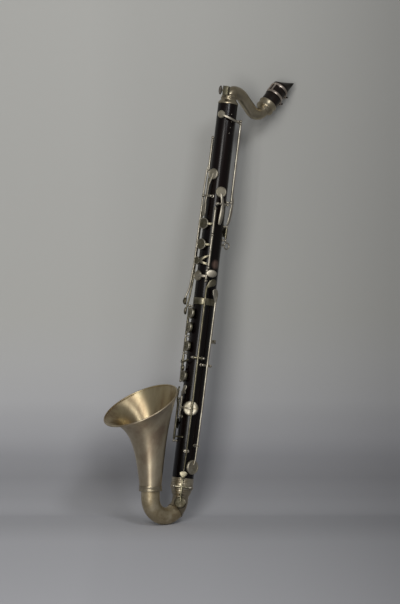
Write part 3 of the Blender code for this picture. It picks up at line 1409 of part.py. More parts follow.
def f_key():
    top = lower(0.4988)
    low = lower(0.6242)
    axle = Axle((top + low) / 2, -88.0, (low - top) / 2)
    axle.posts("f_key_posts")
    end = axle.half - BALL_RADIUS - GAP
    station, turn, radius = F_HOLE
    arm = strip([(station, -88.0, AXLE_HEIGHT, 0.0020, 0.0010), (station, -72.0, 0.0060, 0.0018, 0.0010),
                 (station, -58.0, 0.0050, 0.0018, 0.0009),
                 (station, turn + 22.0, CUP_TOP - 0.0008, 0.0014, 0.0009)])
    touch = strip([(top + 0.0050, -88.0, 0.0056, 0.0018, 0.0010),
                   (top + 0.0010, -76.0, 0.0078, 0.0022, 0.0009),
                   (top - 0.0040, -70.0, 0.0086, 0.0032, 0.0008),
                   (top - 0.0085, -66.0, 0.0082, 0.0030, 0.0008),
                   (top - 0.0110, -64.0, 0.0076, 0.0014, 0.0007)])
    return key("f_key", axle, -end, end, [arm, touch, pad_cup(station, turn, radius)], F_KEY_TRAVEL)


def a_flat_key():
    top = lower(0.5342)
    low = lower(0.7526)
    axle = Axle((top + low) / 2, -114.0, (low - top) / 2)
    axle.posts("a_flat_posts")
    end = axle.half - BALL_RADIUS - GAP
    station, turn, radius = A_FLAT_HOLE
    arm = plateau_arm(-114.0, A_FLAT_HOLE)
    bar = strip([(low - 0.0066, -114.0, AXLE_HEIGHT, 0.0014, 0.0010),
                 (low - 0.0066, -86.0, 0.0046, 0.0013, 0.0009),
                 (low - 0.0066, -58.0, 0.0040, 0.0012, 0.0008)])
    touch = strip([(top + 0.0070, -112.0, 0.0064, 0.0016, 0.0010), (top, -106.0, 0.0086, 0.0018, 0.0009),
                   (top - 0.0080, -104.0, 0.0088, 0.0032, 0.0008),
                   (top - 0.0160, -104.0, 0.0082, 0.0030, 0.0008),
                   (top - 0.0190, -104.0, 0.0076, 0.0014, 0.0007)])
    return key("a_flat_key", axle, -end, end, [arm, bar, touch, pad_cup(station, turn, radius)])


def build():
    upper_joint()
    lower_joint()
    tenon_cork()
    top_ferrule()
    middle_ferrule()
    bottom_ferrule()
    neck()
    mouthpiece()
    reed()
    ligature()
    for place, along in zip(("lower", "upper"), LIGATURE_STATIONS):
        ligature_screw("ligature_screw_%s" % place, along)
    lyre_parts()
    bow_elbow()
    bow()
    bell_ring()
    bell()
    strap_ring()
    thumb_rest()
    register_key()
    throat_g_sharp_key()
    throat_a_key()
    upper_trill_key()
    lower_trill_key()
    left_plateaus()
    thumb_key()
    c_sharp_key()
    e_lever()
    bow_key()
    f_sharp_lever()
    lever_guide("e_lever_guide", lower(0.8015), -36.0, 0.0030)
    lever_guide("f_sharp_lever_guide", lower(0.7668), 8.0, 0.0030)
    right_plateaus()
    f_key()
    a_flat_key()


clear_scene()
PARTS = new_collection("alto_clarinet")
build()
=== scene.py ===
"""Looks, camera and light of the alto clarinet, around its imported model.

Every piece is built again with fine rounds, in the frame's own places.  Lengths are in metres.
A place on the body is a station, which runs down from the upper edge of the wood, a turn round
the body in degrees (0 is the player's left, -90 the front), and a height over the wood.
"""

import json
import math

import bmesh
import bpy
from mathutils import Matrix, Vector


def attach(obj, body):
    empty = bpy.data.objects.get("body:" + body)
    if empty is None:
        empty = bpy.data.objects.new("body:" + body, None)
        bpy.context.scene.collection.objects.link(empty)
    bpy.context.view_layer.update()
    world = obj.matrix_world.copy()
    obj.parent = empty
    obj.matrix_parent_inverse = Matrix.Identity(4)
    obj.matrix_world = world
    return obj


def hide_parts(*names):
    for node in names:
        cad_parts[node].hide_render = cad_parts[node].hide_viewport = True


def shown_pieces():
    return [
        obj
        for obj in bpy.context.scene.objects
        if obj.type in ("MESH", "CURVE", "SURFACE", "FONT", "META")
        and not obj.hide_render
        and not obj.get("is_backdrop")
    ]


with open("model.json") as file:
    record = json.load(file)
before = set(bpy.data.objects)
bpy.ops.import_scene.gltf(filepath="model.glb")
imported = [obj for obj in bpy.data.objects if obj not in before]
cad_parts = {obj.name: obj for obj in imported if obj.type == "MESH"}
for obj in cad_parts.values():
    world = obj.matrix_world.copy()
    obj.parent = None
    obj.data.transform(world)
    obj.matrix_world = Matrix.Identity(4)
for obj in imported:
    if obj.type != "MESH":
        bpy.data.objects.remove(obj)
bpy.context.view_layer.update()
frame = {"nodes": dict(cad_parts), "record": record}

# Clearances
GAP = 0.0003            # between pieces that touch
RUN = 0.0003            # between a hinge tube and the rod inside it

# Wooden body
UPPER_LENGTH = 0.3029
UPPER_RADIUS = 0.01535
LOWER_LENGTH = 0.2967
LOWER_RADIUS = 0.0166
TAPER_START = 0.363 * UPPER_LENGTH
TAPER_END = 0.951 * UPPER_LENGTH
BORE_RADIUS = 0.0088
TENON_RADIUS = 0.0126
TENON_LENGTH = 0.020
CORK_THICKNESS = 0.0011
CORK_LENGTH = 0.012
CORK_PROUD = 0.0005
NECK_TENON_RADIUS = 0.0106
NECK_TENON_LENGTH = 0.020
BOW_TENON_RADIUS = 0.0112
BOW_TENON_LENGTH = 0.015
CHIMNEY_RISE = 0.0004
CHIMNEY_ROOT = 0.0008
LOWER_TOP = UPPER_LENGTH + GAP
BODY_END = LOWER_TOP + LOWER_LENGTH

# Ferrules
FERRULE_WALL = 0.0016
FERRULE_PROUD = 0.0004
TOP_FERRULE_HEIGHT = 0.0104
MIDDLE_FERRULE_HEIGHT = 0.0109
BOTTOM_FERRULE_HEIGHT = 0.0178
BEAD_PROUD = 0.0011
BEAD_HALF = 0.0016
BEAD_FROM_END = 0.0040
RIDGE_COUNT = 3
RIDGE_PITCH = 0.0028
RIDGE_DIP = 0.0005

# Neck, whose centre line lies in the YZ plane
NECK_TUBE_RADIUS = 0.0093
NECK_WALL = 0.0011
NECK_FIRST_BEND = 0.0104
NECK_SECOND_BEND = 0.0268
NECK_SLOPE = 40.5
NECK_KNEE_SHARE = 0.80  # of the way from the corner to the socket, taken by the last bend
NECK_SOCKET_REACH = 0.0793
NECK_SOCKET_RISE = 0.0146
NECK_SOCKET_RADIUS = 0.0137
NECK_SOCKET_DEPTH = 0.0120
NECK_SOCKET_TAPER = 0.0040
NECK_COLLAR_RADIUS = 0.0108
NECK_COLLAR_HEIGHT = 0.0050
MOUTHPIECE_TILT = 36.0

# Mouthpiece, reed and ligature
MOUTHPIECE_RADIUS = 0.0134
MOUTHPIECE_LENGTH = 0.0550
MOUTHPIECE_TENON_RADIUS = 0.0110
MOUTHPIECE_TENON_LENGTH = 0.0105
MOUTHPIECE_BORE = 0.0070
BEAK_LENGTH = 0.0190
TIP_HALF_WIDTH = 0.0068
TABLE_DROP = 0.0028
REED_THICKNESS = 0.0022
REED_HALF_WIDTH = 0.0062
REED_EDGE = 0.45
REED_HEEL = 0.0030
LIGATURE_WALL = 0.0006
LIGATURE_BAND = 0.0038
LIGATURE_STATIONS = (0.0165, 0.0310)
LIGATURE_BAR_SPREAD = 19.0
LUG_REACH = 0.0055
SCREW_RADIUS = 0.0012
SCREW_SIDE = 0.0090
WING_LENGTH = 0.0110
WING_WIDTH = 0.0055
WING_THICKNESS = 0.0018

# Lyre holder beside the neck's collar
LYRE_TURN = -58.0
LYRE_HEIGHT = 0.0140
LYRE_HALF_WIDTH = 0.0042
LYRE_SLOT = 0.0044
LYRE_SCREW_RADIUS = 0.0013
LYRE_SCREW_TURN = -128.0
LYRE_SCREW_LENGTH = 0.0085
LYRE_WING_LENGTH = 0.0140

# Bow and bell, whose centre line lies in the YZ plane
BOW_RADIUS = 0.0290
BOW_DROP = 0.0142
BOW_LEG = 0.0156
ELBOW_SWEEP = 42.0
BELL_LEAN = 9.0
MOUTH_LEAN = 37.5
BOW_TUBE_START = 0.0124
BOW_TUBE_END = 0.0142
BOW_WALL = 0.0010
BOW_RING_PROUD = 0.0009
BOW_RING_SWEEP = 2.4    # degrees of the bend
BELL_LENGTH = 0.1300
BELL_THROAT = 0.0161
BELL_MOUTH = 0.0606
BELL_WALL = 0.0009
BELL_LINEAR_SHARE = 0.36
BELL_FLARE_POWER = 4.4
BELL_LEAN_POWER = 2.6
BELL_RIM_RADIUS = 0.0013
BELL_RING_PROUD = 0.0010
BELL_RING_LENGTH = 0.0080
COLLAR_RADIUS = 0.0154
COLLAR_LENGTH = 0.0085

# Strap ring and thumb rest on the back
STRAP_STATION = 0.7171 * UPPER_LENGTH
RING_EYE_RADIUS = 0.0036
RING_WIRE_RADIUS = 0.0012
RING_STEM = 0.0077
RING_PLATE_LENGTH = 0.020
RING_PLATE_WIDTH = 0.0090
PLATE_THICKNESS = 0.0016
THUMB_REST_STATION = 0.2241 * LOWER_LENGTH
THUMB_REST_REACH = 0.0098
THUMB_REST_WIDTH = 0.0150
THUMB_PLATE_LENGTH = 0.0280

# Key work
ROD_RADIUS = 0.0008
TUBE_RADIUS = 0.0019
BALL_RADIUS = 0.0022
STEM_RADIUS = 0.0013
FOOT_RADIUS = 0.0026
AXLE_HEIGHT = 0.0050
CUP_HEIGHT = 0.0026
PAD_THICKNESS = 0.0012
PAD_INSET = 0.0007
ARM_HALF_WIDTH = 0.0017
ARM_HALF_THICKNESS = 0.0009
LEVER_RADIUS = 0.0017
PLATEAU_TRAVEL = 10.0
SMALL_CUP = 0.0062
THROAT_CUP = 0.0086
PLATEAU_CUP = 0.0088
RIGHT_CUP = 0.0086
C_SHARP_CUP = 0.0080
BIG_CUP = 0.0117
F_SHARP_CUP = 0.0114
BOW_CUP = 0.0095
HOLE_SHARE = 0.55


# The ring's eye is the origin, so the body's own axis stands this far in front of it
RING_REACH = UPPER_RADIUS + PLATE_THICKNESS + RING_STEM + 2 * RING_WIRE_RADIUS + RING_EYE_RADIUS
AXIS_Y = -RING_REACH
UP = Vector((0.0, 0.0, 1.0))

# Fineness of the rounds
BODY_SIDES = 128
TUBE_SIDES = 24
CUP_SIDES = 56
POST_SIDES = 20
SOFT_ANGLE = math.radians(24.0)
SHARP_ANGLE = math.radians(50.0)
EDGE_RADIUS = 0.0003
CUP_DISH = 0.00012

# Materials

def new_material(name):
    made = bpy.data.materials.new(name)
    made.use_nodes = True
    tree = made.node_tree
    return made, tree, tree.nodes["Principled BSDF"]


def node(tree, kind, **values):
    made = tree.nodes.new(kind)
    for key, value in values.items():
        if key in made.inputs:
            made.inputs[key].default_value = value
        else:
            setattr(made, key, value)
    return made


def place(tree, scale=(1.0, 1.0, 1.0)):
    """Object coordinates, stretched."""
    coordinates = tree.nodes.new("ShaderNodeTexCoord")
    mapping = tree.nodes.new("ShaderNodeMapping")
    mapping.inputs["Scale"].default_value = scale
    tree.links.new(coordinates.outputs["Object"], mapping.inputs["Vector"])
    return mapping.outputs["Vector"]


def noise(tree, where, scale, detail=4.0, roughness=0.55):
    made = node(tree, "ShaderNodeTexNoise", Scale=scale, Detail=detail, Roughness=roughness)
    tree.links.new(where, made.inputs["Vector"])
    return made.outputs["Fac"]


def ramp(tree, value, stops):
    """A colour ramp through (position, colour) stops."""
    made = tree.nodes.new("ShaderNodeValToRGB")
    band = made.color_ramp
    while len(band.elements) < len(stops):
        band.elements.new(0.5)
    for element, (position, colour) in zip(band.elements, stops):
        element.position = position
        element.color = (*colour, 1.0)
    tree.links.new(value, made.inputs["Fac"])
    return made.outputs["Color"]


def mix(tree, factor, first, second, blend="MIX"):
    made = tree.nodes.new("ShaderNodeMix")
    made.data_type = "RGBA"
    made.blend_type = blend
    for socket, value in ((made.inputs[0], factor), (made.inputs[6], first), (made.inputs[7], second)):
        if isinstance(value, bpy.types.NodeSocket):
            tree.links.new(value, socket)
        elif isinstance(value, tuple):
            socket.default_value = (*value, 1.0)
        else:
            socket.default_value = value
    return made.outputs[2]


def bump(tree, shader, height, strength, distance):
    made = node(tree, "ShaderNodeBump", Strength=strength, Distance=distance)
    tree.links.new(height, made.inputs["Height"])
    tree.links.new(made.outputs["Normal"], shader.inputs["Normal"])


def grey(value):
    return (value, value, value)


# A patch of the upper joint that is lighter and browner than the rest of the wood
BROWN_SPOT = (0.0159, AXIS_Y + 0.0010, STRAP_STATION - 0.2500)
BROWN_REACH = 0.0085


def blackwood():
    """Oiled, stained wood: near black with red-brown tints along the grain."""
    made, tree, shader = new_material("blackwood_look")
    grain = noise(tree, place(tree, (260.0, 260.0, 9.0)), 1.0, 6.0, 0.6)
    broad = noise(tree, place(tree, (30.0, 30.0, 6.0)), 1.0, 3.0, 0.5)
    base = ramp(tree, grain, [(0.30, (0.0008, 0.0005, 0.0005)), (0.62, (0.0022, 0.0011, 0.0010)),
                              (0.80, (0.0090, 0.0036, 0.0026))])
    tint = ramp(tree, broad, [(0.45, grey(0.0)), (0.75, grey(0.75))])
    colour = mix(tree, tint, base, (0.0080, 0.0034, 0.0026))
    coordinates = tree.nodes.new("ShaderNodeTexCoord")
    away = node(tree, "ShaderNodeVectorMath", operation="DISTANCE")
    tree.links.new(coordinates.outputs["Object"], away.inputs[0])
    away.inputs[1].default_value = BROWN_SPOT
    reach = node(tree, "ShaderNodeMath", operation="DIVIDE")
    tree.links.new(away.outputs["Value"], reach.inputs[0])
    reach.inputs[1].default_value = BROWN_REACH
    # A lighter brown patch on the upper joint, fading out from its centre
    brown_patch = mix(tree, 1.0, ramp(tree, reach.outputs[0], [(0.45, grey(1.0)), (1.0, grey(0.0))]),
               ramp(tree, grain, [(0.30, grey(0.3)), (0.65, grey(1.0))]), "MULTIPLY")
    colour = mix(tree, brown_patch, colour, (0.090, 0.058, 0.046))
    tree.links.new(colour, shader.inputs["Base Color"])
    tree.links.new(ramp(tree, grain, [(0.3, grey(0.19)), (0.8, grey(0.31))]), shader.inputs["Roughness"])
    bump(tree, shader, grain, 0.20, 0.0002)
    shader.inputs["Specular IOR Level"].default_value = 0.19
    return made


INNER_TINT = (0.88, 0.86, 0.76)


def inside(tree, point, way):
    """One where a surface looks towards the axis through a point, and nought where it looks away."""
    geometry = tree.nodes.new("ShaderNodeNewGeometry")
    coordinates = tree.nodes.new("ShaderNodeTexCoord")
    spoke = node(tree, "ShaderNodeVectorMath", operation="SUBTRACT")
    tree.links.new(coordinates.outputs["Object"], spoke.inputs[0])
    spoke.inputs[1].default_value = point
    across = node(tree, "ShaderNodeVectorMath", operation="CROSS_PRODUCT")
    tree.links.new(spoke.outputs["Vector"], across.inputs[0])
    across.inputs[1].default_value = way
    outward_way = node(tree, "ShaderNodeVectorMath", operation="CROSS_PRODUCT")
    outward_way.inputs[0].default_value = way
    tree.links.new(across.outputs["Vector"], outward_way.inputs[1])
    facing = node(tree, "ShaderNodeVectorMath", operation="DOT_PRODUCT")
    tree.links.new(outward_way.outputs["Vector"], facing.inputs[0])
    tree.links.new(geometry.outputs["True Normal"], facing.inputs[1])
    turned_in = node(tree, "ShaderNodeMath", operation="LESS_THAN")
    tree.links.new(facing.outputs["Value"], turned_in.inputs[0])
    turned_in.inputs[1].default_value = 0.0
    return turned_in.outputs[0]


def metal(name, dark, middle, light, rough, smooth, patch_scale=160.0, streak=(1.0, 1.0, 1.0), spun=None):
    """Worn metal: three tones in fine patches, with a roughness that follows them; metal spun about an
    axis (a point and a way) draws the light out along it, and has a finer finish inside."""
    made, tree, shader = new_material(name)
    patches = noise(tree, place(tree, streak), patch_scale, 5.0, 0.6)
    broad = noise(tree, place(tree), 26.0, 3.0, 0.5)
    base = ramp(tree, patches, [(0.34, dark), (0.50, middle), (0.70, light)])
    tarnish = ramp(tree, broad, [(0.42, grey(0.0)), (0.72, grey(0.55))])
    colour = mix(tree, tarnish, base, dark)
    roughness = ramp(tree, patches, [(0.35, grey(rough)), (0.65, grey(smooth))])
    if spun:
        inner = inside(tree, *spun)
        colour = mix(tree, inner, colour, INNER_TINT, "MULTIPLY")
        roughness = mix(tree, inner, roughness, grey(0.88), "MULTIPLY")
    tree.links.new(colour, shader.inputs["Base Color"])
    shader.inputs["Metallic"].default_value = 1.0
    tree.links.new(roughness, shader.inputs["Roughness"])
    bump(tree, shader, patches, 0.05, 0.0001)
    if spun:
        geometry = tree.nodes.new("ShaderNodeNewGeometry")
        around_axis = node(tree, "ShaderNodeVectorMath", operation="CROSS_PRODUCT")
        tree.links.new(geometry.outputs["True Normal"], around_axis.inputs[0])
        around_axis.inputs[1].default_value = spun[1]
        tree.links.new(around_axis.outputs["Vector"], shader.inputs["Tangent"])
        shader.inputs["Anisotropic"].default_value = 0.75
        shader.inputs["Anisotropic Rotation"].default_value = 0.25
    return made


def plain(name, low, high, roughness, metallic=0.0, scale=90.0, gloss=0.5):
    """A two-tone surface with a mottled roughness."""
    made, tree, shader = new_material(name)
    mottle = noise(tree, place(tree), scale, 5.0, 0.6)
    tree.links.new(ramp(tree, mottle, [(0.35, low), (0.70, high)]), shader.inputs["Base Color"])
    shader.inputs["Metallic"].default_value = metallic
    shader.inputs["Specular IOR Level"].default_value = gloss
    tree.links.new(ramp(tree, mottle, [(0.3, grey(roughness + 0.08)), (0.8, grey(roughness - 0.06))]),
                   shader.inputs["Roughness"])
    bump(tree, shader, mottle, 0.10, 0.0002)
    return made


# Each look by its name; LOOK_OF_SLOT gives the look for each of the record's material slots
BRIGHT, CUP, OLIVE, DIM, STRAP, SATIN, RING, PALE, BELL, BOW, WOOD, EBONITE, CORK, CANE, DARK = (
    "bright", "cup", "olive", "dim", "strap", "satin", "ring", "pale", "bell", "bow", "wood", "ebonite", "cork",
    "cane", "dark")
LOOKS = {
    BRIGHT: metal("key_silver_look", (0.26, 0.235, 0.19), (0.37, 0.34, 0.275), (0.49, 0.455, 0.385), 0.46, 0.36, 90.0),
    CUP: metal("cup_silver_look", (0.24, 0.215, 0.16), (0.35, 0.32, 0.25), (0.48, 0.44, 0.36), 0.54, 0.40, 120.0),
    STRAP: metal("strap_look", (0.11, 0.080, 0.040), (0.19, 0.145, 0.080), (0.27, 0.215, 0.13), 0.50, 0.38, 200.0),
    OLIVE: metal("olive_silver_look", (0.105, 0.095, 0.060), (0.165, 0.150, 0.105), (0.26, 0.235, 0.175),
                 0.42, 0.30, 120.0),
    DIM: metal("dim_silver_look", (0.055, 0.048, 0.030), (0.095, 0.085, 0.058), (0.18, 0.16, 0.12), 0.58, 0.46, 150.0),
    SATIN: metal("nickel_silver_look", (0.21, 0.17, 0.115), (0.34, 0.295, 0.21), (0.48, 0.43, 0.32), 0.42, 0.30,
                 40.0, (1.0, 1.0, 0.4)),
    RING: metal("ring_look", (0.25, 0.21, 0.14), (0.39, 0.34, 0.25), (0.53, 0.48, 0.37), 0.42, 0.32, 60.0),
    PALE: metal("pale_silver_look", (0.30, 0.25, 0.21), (0.44, 0.375, 0.325), (0.58, 0.51, 0.45), 0.44, 0.34, 90.0),
    BOW: metal("bow_look", (0.32, 0.255, 0.155), (0.49, 0.415, 0.28), (0.63, 0.56, 0.40), 0.50, 0.42, 60.0),
    WOOD: blackwood(),
    EBONITE: plain("ebonite_look", (0.0030, 0.0020, 0.0016), (0.0120, 0.0064, 0.0046), 0.34, gloss=0.2),
    CORK: plain("cork_look", (0.34, 0.20, 0.10), (0.62, 0.43, 0.25), 0.85, scale=600.0),
    CANE: plain("cane_look", (0.52, 0.38, 0.18), (0.74, 0.60, 0.36), 0.55, scale=300.0),
    DARK: plain("dark_steel_look", (0.020, 0.018, 0.015), (0.075, 0.066, 0.056), 0.38, 1.0),
}
LOOK_OF_SLOT = {"key_silver": BRIGHT, "nickel_silver": SATIN, "blackwood": WOOD, "ebonite": EBONITE,
                "cork": CORK, "cane": CANE, "dark_steel": DARK}
for part in frame["record"]["subparts"]:
    item = frame["nodes"][part["node"]]
    item.data.materials.clear()
    item.data.materials.append(LOOKS[LOOK_OF_SLOT[part["material_slot"]]])

BODY_OF = {held: body for body, held_nodes in frame["record"]["behaviour"]["bodies"].items()
           for held in held_nodes}


# Places on the body

def wood_radius(station):
    """Radius of the wood at a station: it grows from the upper joint's top to the middle joint."""
    share = (station - TAPER_START) / (TAPER_END - TAPER_START)
    share = min(max(share, 0.0), 1.0)
    return UPPER_RADIUS + (LOWER_RADIUS - UPPER_RADIUS) * share


def upper(share):
    """The station at a share of the upper joint's length."""
    return UPPER_LENGTH * share


def lower(share):
    """The station at a share of the lower joint's length."""
    return LOWER_TOP + LOWER_LENGTH * share


def outward(turn):
    angle = math.radians(turn)
    return Vector((math.cos(angle), math.sin(angle), 0.0))


def around(turn):
    """Direction round the body, in which the turn grows."""
    angle = math.radians(turn)
    return Vector((-math.sin(angle), math.cos(angle), 0.0))


def from_axis(station, turn, reach):
    """A point at a reach from the body's axis."""
    return Vector((0.0, AXIS_Y, STRAP_STATION - station)) + outward(turn) * reach


def over(station, turn, height):
    """A point at a height over the wood."""
    return from_axis(station, turn, wood_radius(station) + height)


def placing(origin, z_axis, x_hint=UP):
    """A placing matrix whose Z runs along z_axis and whose X lies nearest to x_hint."""
    z_axis = z_axis.normalized()
    x_axis = (x_hint - z_axis * x_hint.dot(z_axis)).normalized()
    y_axis = z_axis.cross(x_axis)
    matrix = Matrix((x_axis, y_axis, z_axis)).transposed().to_4x4()
    return Matrix.Translation(origin) @ matrix


def body_frame(station):
    """On the body's axis at a station, with Z up."""
    return Matrix.Translation(from_axis(station, 0.0, 0.0))


# Shapes

def show(mesh):
    item = bpy.data.objects.new("shape", mesh)
    bpy.context.scene.collection.objects.link(item)
    return item


def shown(work):
    """The object of a finished bmesh."""
    bmesh.ops.recalc_face_normals(work, faces=work.faces)
    mesh = bpy.data.meshes.new("shape")
    work.to_mesh(mesh)
    work.free()
    return show(mesh)


def skin(rows, closed=False):
    """A skin through rows of points, capped unless it closes on itself; a row may be one point."""
    work = bmesh.new()
    made = [[work.verts.new(point) for point in row] for row in rows]
    for first, second in zip(made, made[1:] + (made[:1] if closed else [])):
        count = max(len(first), len(second))
        for i in range(count):
            j = (i + 1) % count
            if len(first) == 1:
                work.faces.new((first[0], second[j], second[i]))
            elif len(second) == 1:
                work.faces.new((first[i], first[j], second[0]))
            else:
                work.faces.new((first[i], first[j], second[j], second[i]))
    if not closed:
        for row in (made[0], made[-1]):
            if len(row) > 2:
                work.faces.new(row)
    return shown(work)


def loft(rings):
    return skin(rings)


def softened(outline, closed):
    """The outline with its corners rounded a little, as polished edges are."""
    result = []
    for i, point in enumerate(outline):
        here = Vector(point)
        back = Vector(outline[i - 1]) - here
        ahead = Vector(outline[(i + 1) % len(outline)]) - here
        at_end = not closed and i in (0, len(outline) - 1)
        if at_end or min(back.length, ahead.length) < 1e-7 or back.angle(-ahead) < SOFT_ANGLE:
            result.append(point)
            continue
        reach = min(EDGE_RADIUS, 0.4 * back.length, 0.4 * ahead.length)
        start = here + back.normalized() * reach
        end = here + ahead.normalized() * reach
        result += [tuple(start), tuple((start + here * 2 + end) / 4), tuple(end)]
    return result


def turned(outline, place, sides=TUBE_SIDES):
    """Turns an outline of (radius, height) points about Z."""
    closed = outline[0][0] > 0.0 or outline[-1][0] > 0.0
    rows = []
    for radius, height in softened(outline, closed):
        if radius < 1e-7:
            rows.append([place @ Vector((0.0, 0.0, height))])
            continue
        rows.append([place @ Vector((radius * math.cos(2 * math.pi * k / sides),
                                     radius * math.sin(2 * math.pi * k / sides), height))
                     for k in range(sides)])
    return skin(rows, closed)


def cylinder(start, end, radius, sides=TUBE_SIDES):
    """A round bar between two points."""
    length = (end - start).length
    return turned([(0.0, length), (radius, length), (radius, 0.0), (0.0, 0.0)],
                  placing(start, end - start, Vector((0.3, 0.2, 1.0))), sides)


def through(stops, points, steps=6):
    """Stops on a smooth curve through the given ones, spaced by the distances of their points."""
    knots = [0.0]
    for first, second in zip(points, points[1:]):
        knots.append(knots[-1] + (second - first).length)
    slopes = []
    for i in range(len(stops)):
        low = max(i - 1, 0)
        high = min(i + 1, len(stops) - 1)
        slopes.append([(b - a) / (knots[high] - knots[low]) for a, b in zip(stops[low], stops[high])])
    result = []
    for i in range(len(stops) - 1):
        span = knots[i + 1] - knots[i]
        for k in range(steps):
            u = k / steps
            here = (1.0 + 2.0 * u) * (1.0 - u) ** 2
            leave = u * (1.0 - u) ** 2 * span
            there = u * u * (3.0 - 2.0 * u)
            arrive = u * u * (u - 1.0) * span
            result.append(tuple(here * a + leave * p + there * b + arrive * q for a, b, p, q in
                                zip(stops[i], stops[i + 1], slopes[i], slopes[i + 1])))
    return result + [stops[-1]]


def rounded_ends(rings, depth):
    """The rings with both ends drawn in, so that the bar's ends are rounded."""
    result = list(rings)
    for end, inner in ((0, 1), (-1, -2)):
        centre = sum(result[end], Vector()) / len(result[end])
        back = sum(result[inner], Vector()) / len(result[inner]) - centre
        back = back.normalized() * min(depth, back.length * 0.8)
        outer = [[centre + back * share + (point - centre) * size for point in rings[end]]
                 for size, share in ((0.62, 0.0), (0.90, 0.30), (1.0, 1.0))]
        if end == 0:
            result = outer + result[1:]
        else:
            result = result[:-1] + outer[::-1]
    return result


def wire(points, radii, sides=20):
    """A bent round bar through points, with a radius at each."""
    rings = []
    side = (points[1] - points[0]).orthogonal()
    for i, point in enumerate(points):
        along = (points[min(i + 1, len(points) - 1)] - points[max(i - 1, 0)]).normalized()
        side = (side - along * side.dot(along)).normalized()
        across = along.cross(side)
        rings.append([point + (side * math.cos(2 * math.pi * k / sides)
                               + across * math.sin(2 * math.pi * k / sides)) * radii[i] for k in range(sides)])
    return skin(rounded_ends(rings, min(radii) * 0.6))


def flat_section(count=20):
    """A flat bar's section with rounded edges, as shares of its half width and half thickness."""
    section = []
    for k in range(count):
        angle = 2 * math.pi * k / count
        c = math.cos(angle)
        s = math.sin(angle)
        section.append((math.copysign(abs(c) ** 0.55, c), math.copysign(abs(s) ** 0.75, s)))
    return section


def round_section(count=24):
    """Points around an oval section."""
    return [(math.cos(2 * math.pi * k / count), math.sin(2 * math.pi * k / count)) for k in range(count)]


def strip(stops, section=flat_section, twist=0.0):
    """A bar over the wood, flat unless it has a section of its own, and turned about its length by twist.

    Each stop is a station, turn, height, half width and half thickness.
    """
    stops = through(stops, [over(*stop[:3]) for stop in stops])
    points = [over(*stop[:3]) for stop in stops]
    rings = []
    for i, stop in enumerate(stops):
        along = (points[min(i + 1, len(points) - 1)] - points[max(i - 1, 0)]).normalized()
        out = outward(stop[1] + twist)
        out = (out - along * out.dot(along)).normalized()
        side = along.cross(out)
        rings.append([points[i] + side * (u * stop[3]) + out * (v * stop[4]) for u, v in section()])
    return skin(rounded_ends(rings, stops[-1][3] * 0.5))


def ellipse_button(centre, normal, half_long, half_wide, thickness, long_way, sides=40):
    """A domed oval finger button."""
    place = placing(centre, normal, long_way)
    profile = [(math.sin(math.radians(a)), 0.1 + 0.9 * math.cos(math.radians(a))) for a in range(0, 91, 10)]
    profile += [(0.96, -0.20), (0.85, -0.35), (0.0, -0.35)]
    rows = []
    for share, rise in profile:
        if share < 1e-6:
            rows.append([place @ Vector((0.0, 0.0, rise * thickness))])
            continue
        rows.append([place @ Vector((half_long * share * math.cos(2 * math.pi * k / sides),
                                     half_wide * share * math.sin(2 * math.pi * k / sides), rise * thickness))
                     for k in range(sides)])
    return skin(rows)


def block(centre, size, x_way, z_way):
    """A box with its own X, Y and Z sizes and softened edges."""
    work = bmesh.new()
    bmesh.ops.create_cube(work, size=1.0)
    work.transform(placing(centre, z_way, x_way) @ Matrix.Diagonal((*size, 1.0)))
    bmesh.ops.bevel(work, geom=work.edges[:], offset=min(EDGE_RADIUS, min(size) * 0.2), segments=3,
                    profile=0.5, affect="EDGES")
    return shown(work)


def joined(base, *others):
    """Pieces that are brazed together, as one object."""
    work = bmesh.new()
    for item in (base, *others):
        work.from_mesh(item.data)
        bpy.data.objects.remove(item)
    mesh = bpy.data.meshes.new("joined")
    work.to_mesh(mesh)
    work.free()
    return show(mesh)


def cut(base, *cutters):
    """The piece with the cutters' shapes taken away."""
    for cutter in cutters:
        modifier = base.modifiers.new("cut", "BOOLEAN")
        modifier.operation = "DIFFERENCE"
        modifier.object = cutter
        modifier.solver = "EXACT"
    bpy.context.view_layer.update()
    graph = bpy.context.evaluated_depsgraph_get()
    mesh = bpy.data.meshes.new_from_object(base.evaluated_get(graph))
    for item in (base, *cutters):
        bpy.data.objects.remove(item)
    return show(mesh)


def finished(item, name, look, part=""):
    """Gives a piece its look and lets it stand for its CAD node."""
    item.name = name + (part or "_shape")
    item.data.name = item.name
    item.data.materials.clear()
    item.data.materials.append(LOOKS[look])
    item.data.shade_smooth()
    item.data.set_sharp_from_angle(angle=SHARP_ANGLE)
    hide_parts(name)
    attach(item, BODY_OF.get(name, "root"))
    return item


def added(item, name, look, body="body"):
    """A detail with no CAD node of its own, carried by a body."""
    item.name = name
    item.data.name = name
    item.data.materials.clear()
    item.data.materials.append(LOOKS[look])
    item.data.shade_smooth()
    item.data.set_sharp_from_angle(angle=SHARP_ANGLE)
    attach(item, body)
    return item


def swung(item, pivot, axis, degrees):
    """Turns a piece about an axle."""
    turn = Matrix.Rotation(math.radians(degrees), 4, axis)
    item.data.transform(Matrix.Translation(pivot) @ turn @ Matrix.Translation(-pivot))
    return item


# Key work

SCREW_SINK = 0.00045            # a screw head's seat below the top of the post's ball
SCREW_RISE = 0.0007
SCREW_SLOT = 12.0               # degrees from the slot's middle to its corner


def screw_head(place, radius=0.0009):
    """The two halves of a slotted screw head."""
    halves = []
    for start in (0.0, 180.0):
        angles = [math.radians(start + SCREW_SLOT + (180.0 - 2 * SCREW_SLOT) * k / 10) for k in range(11)]
        rings = [[place @ Vector((wide * math.cos(a), wide * math.sin(a), rise)) for a in angles]
                 for wide, rise in ((radius, 0.0), (radius, SCREW_RISE * 0.8), (radius * 0.88, SCREW_RISE))]
        halves.append(loft(rings))
    return halves


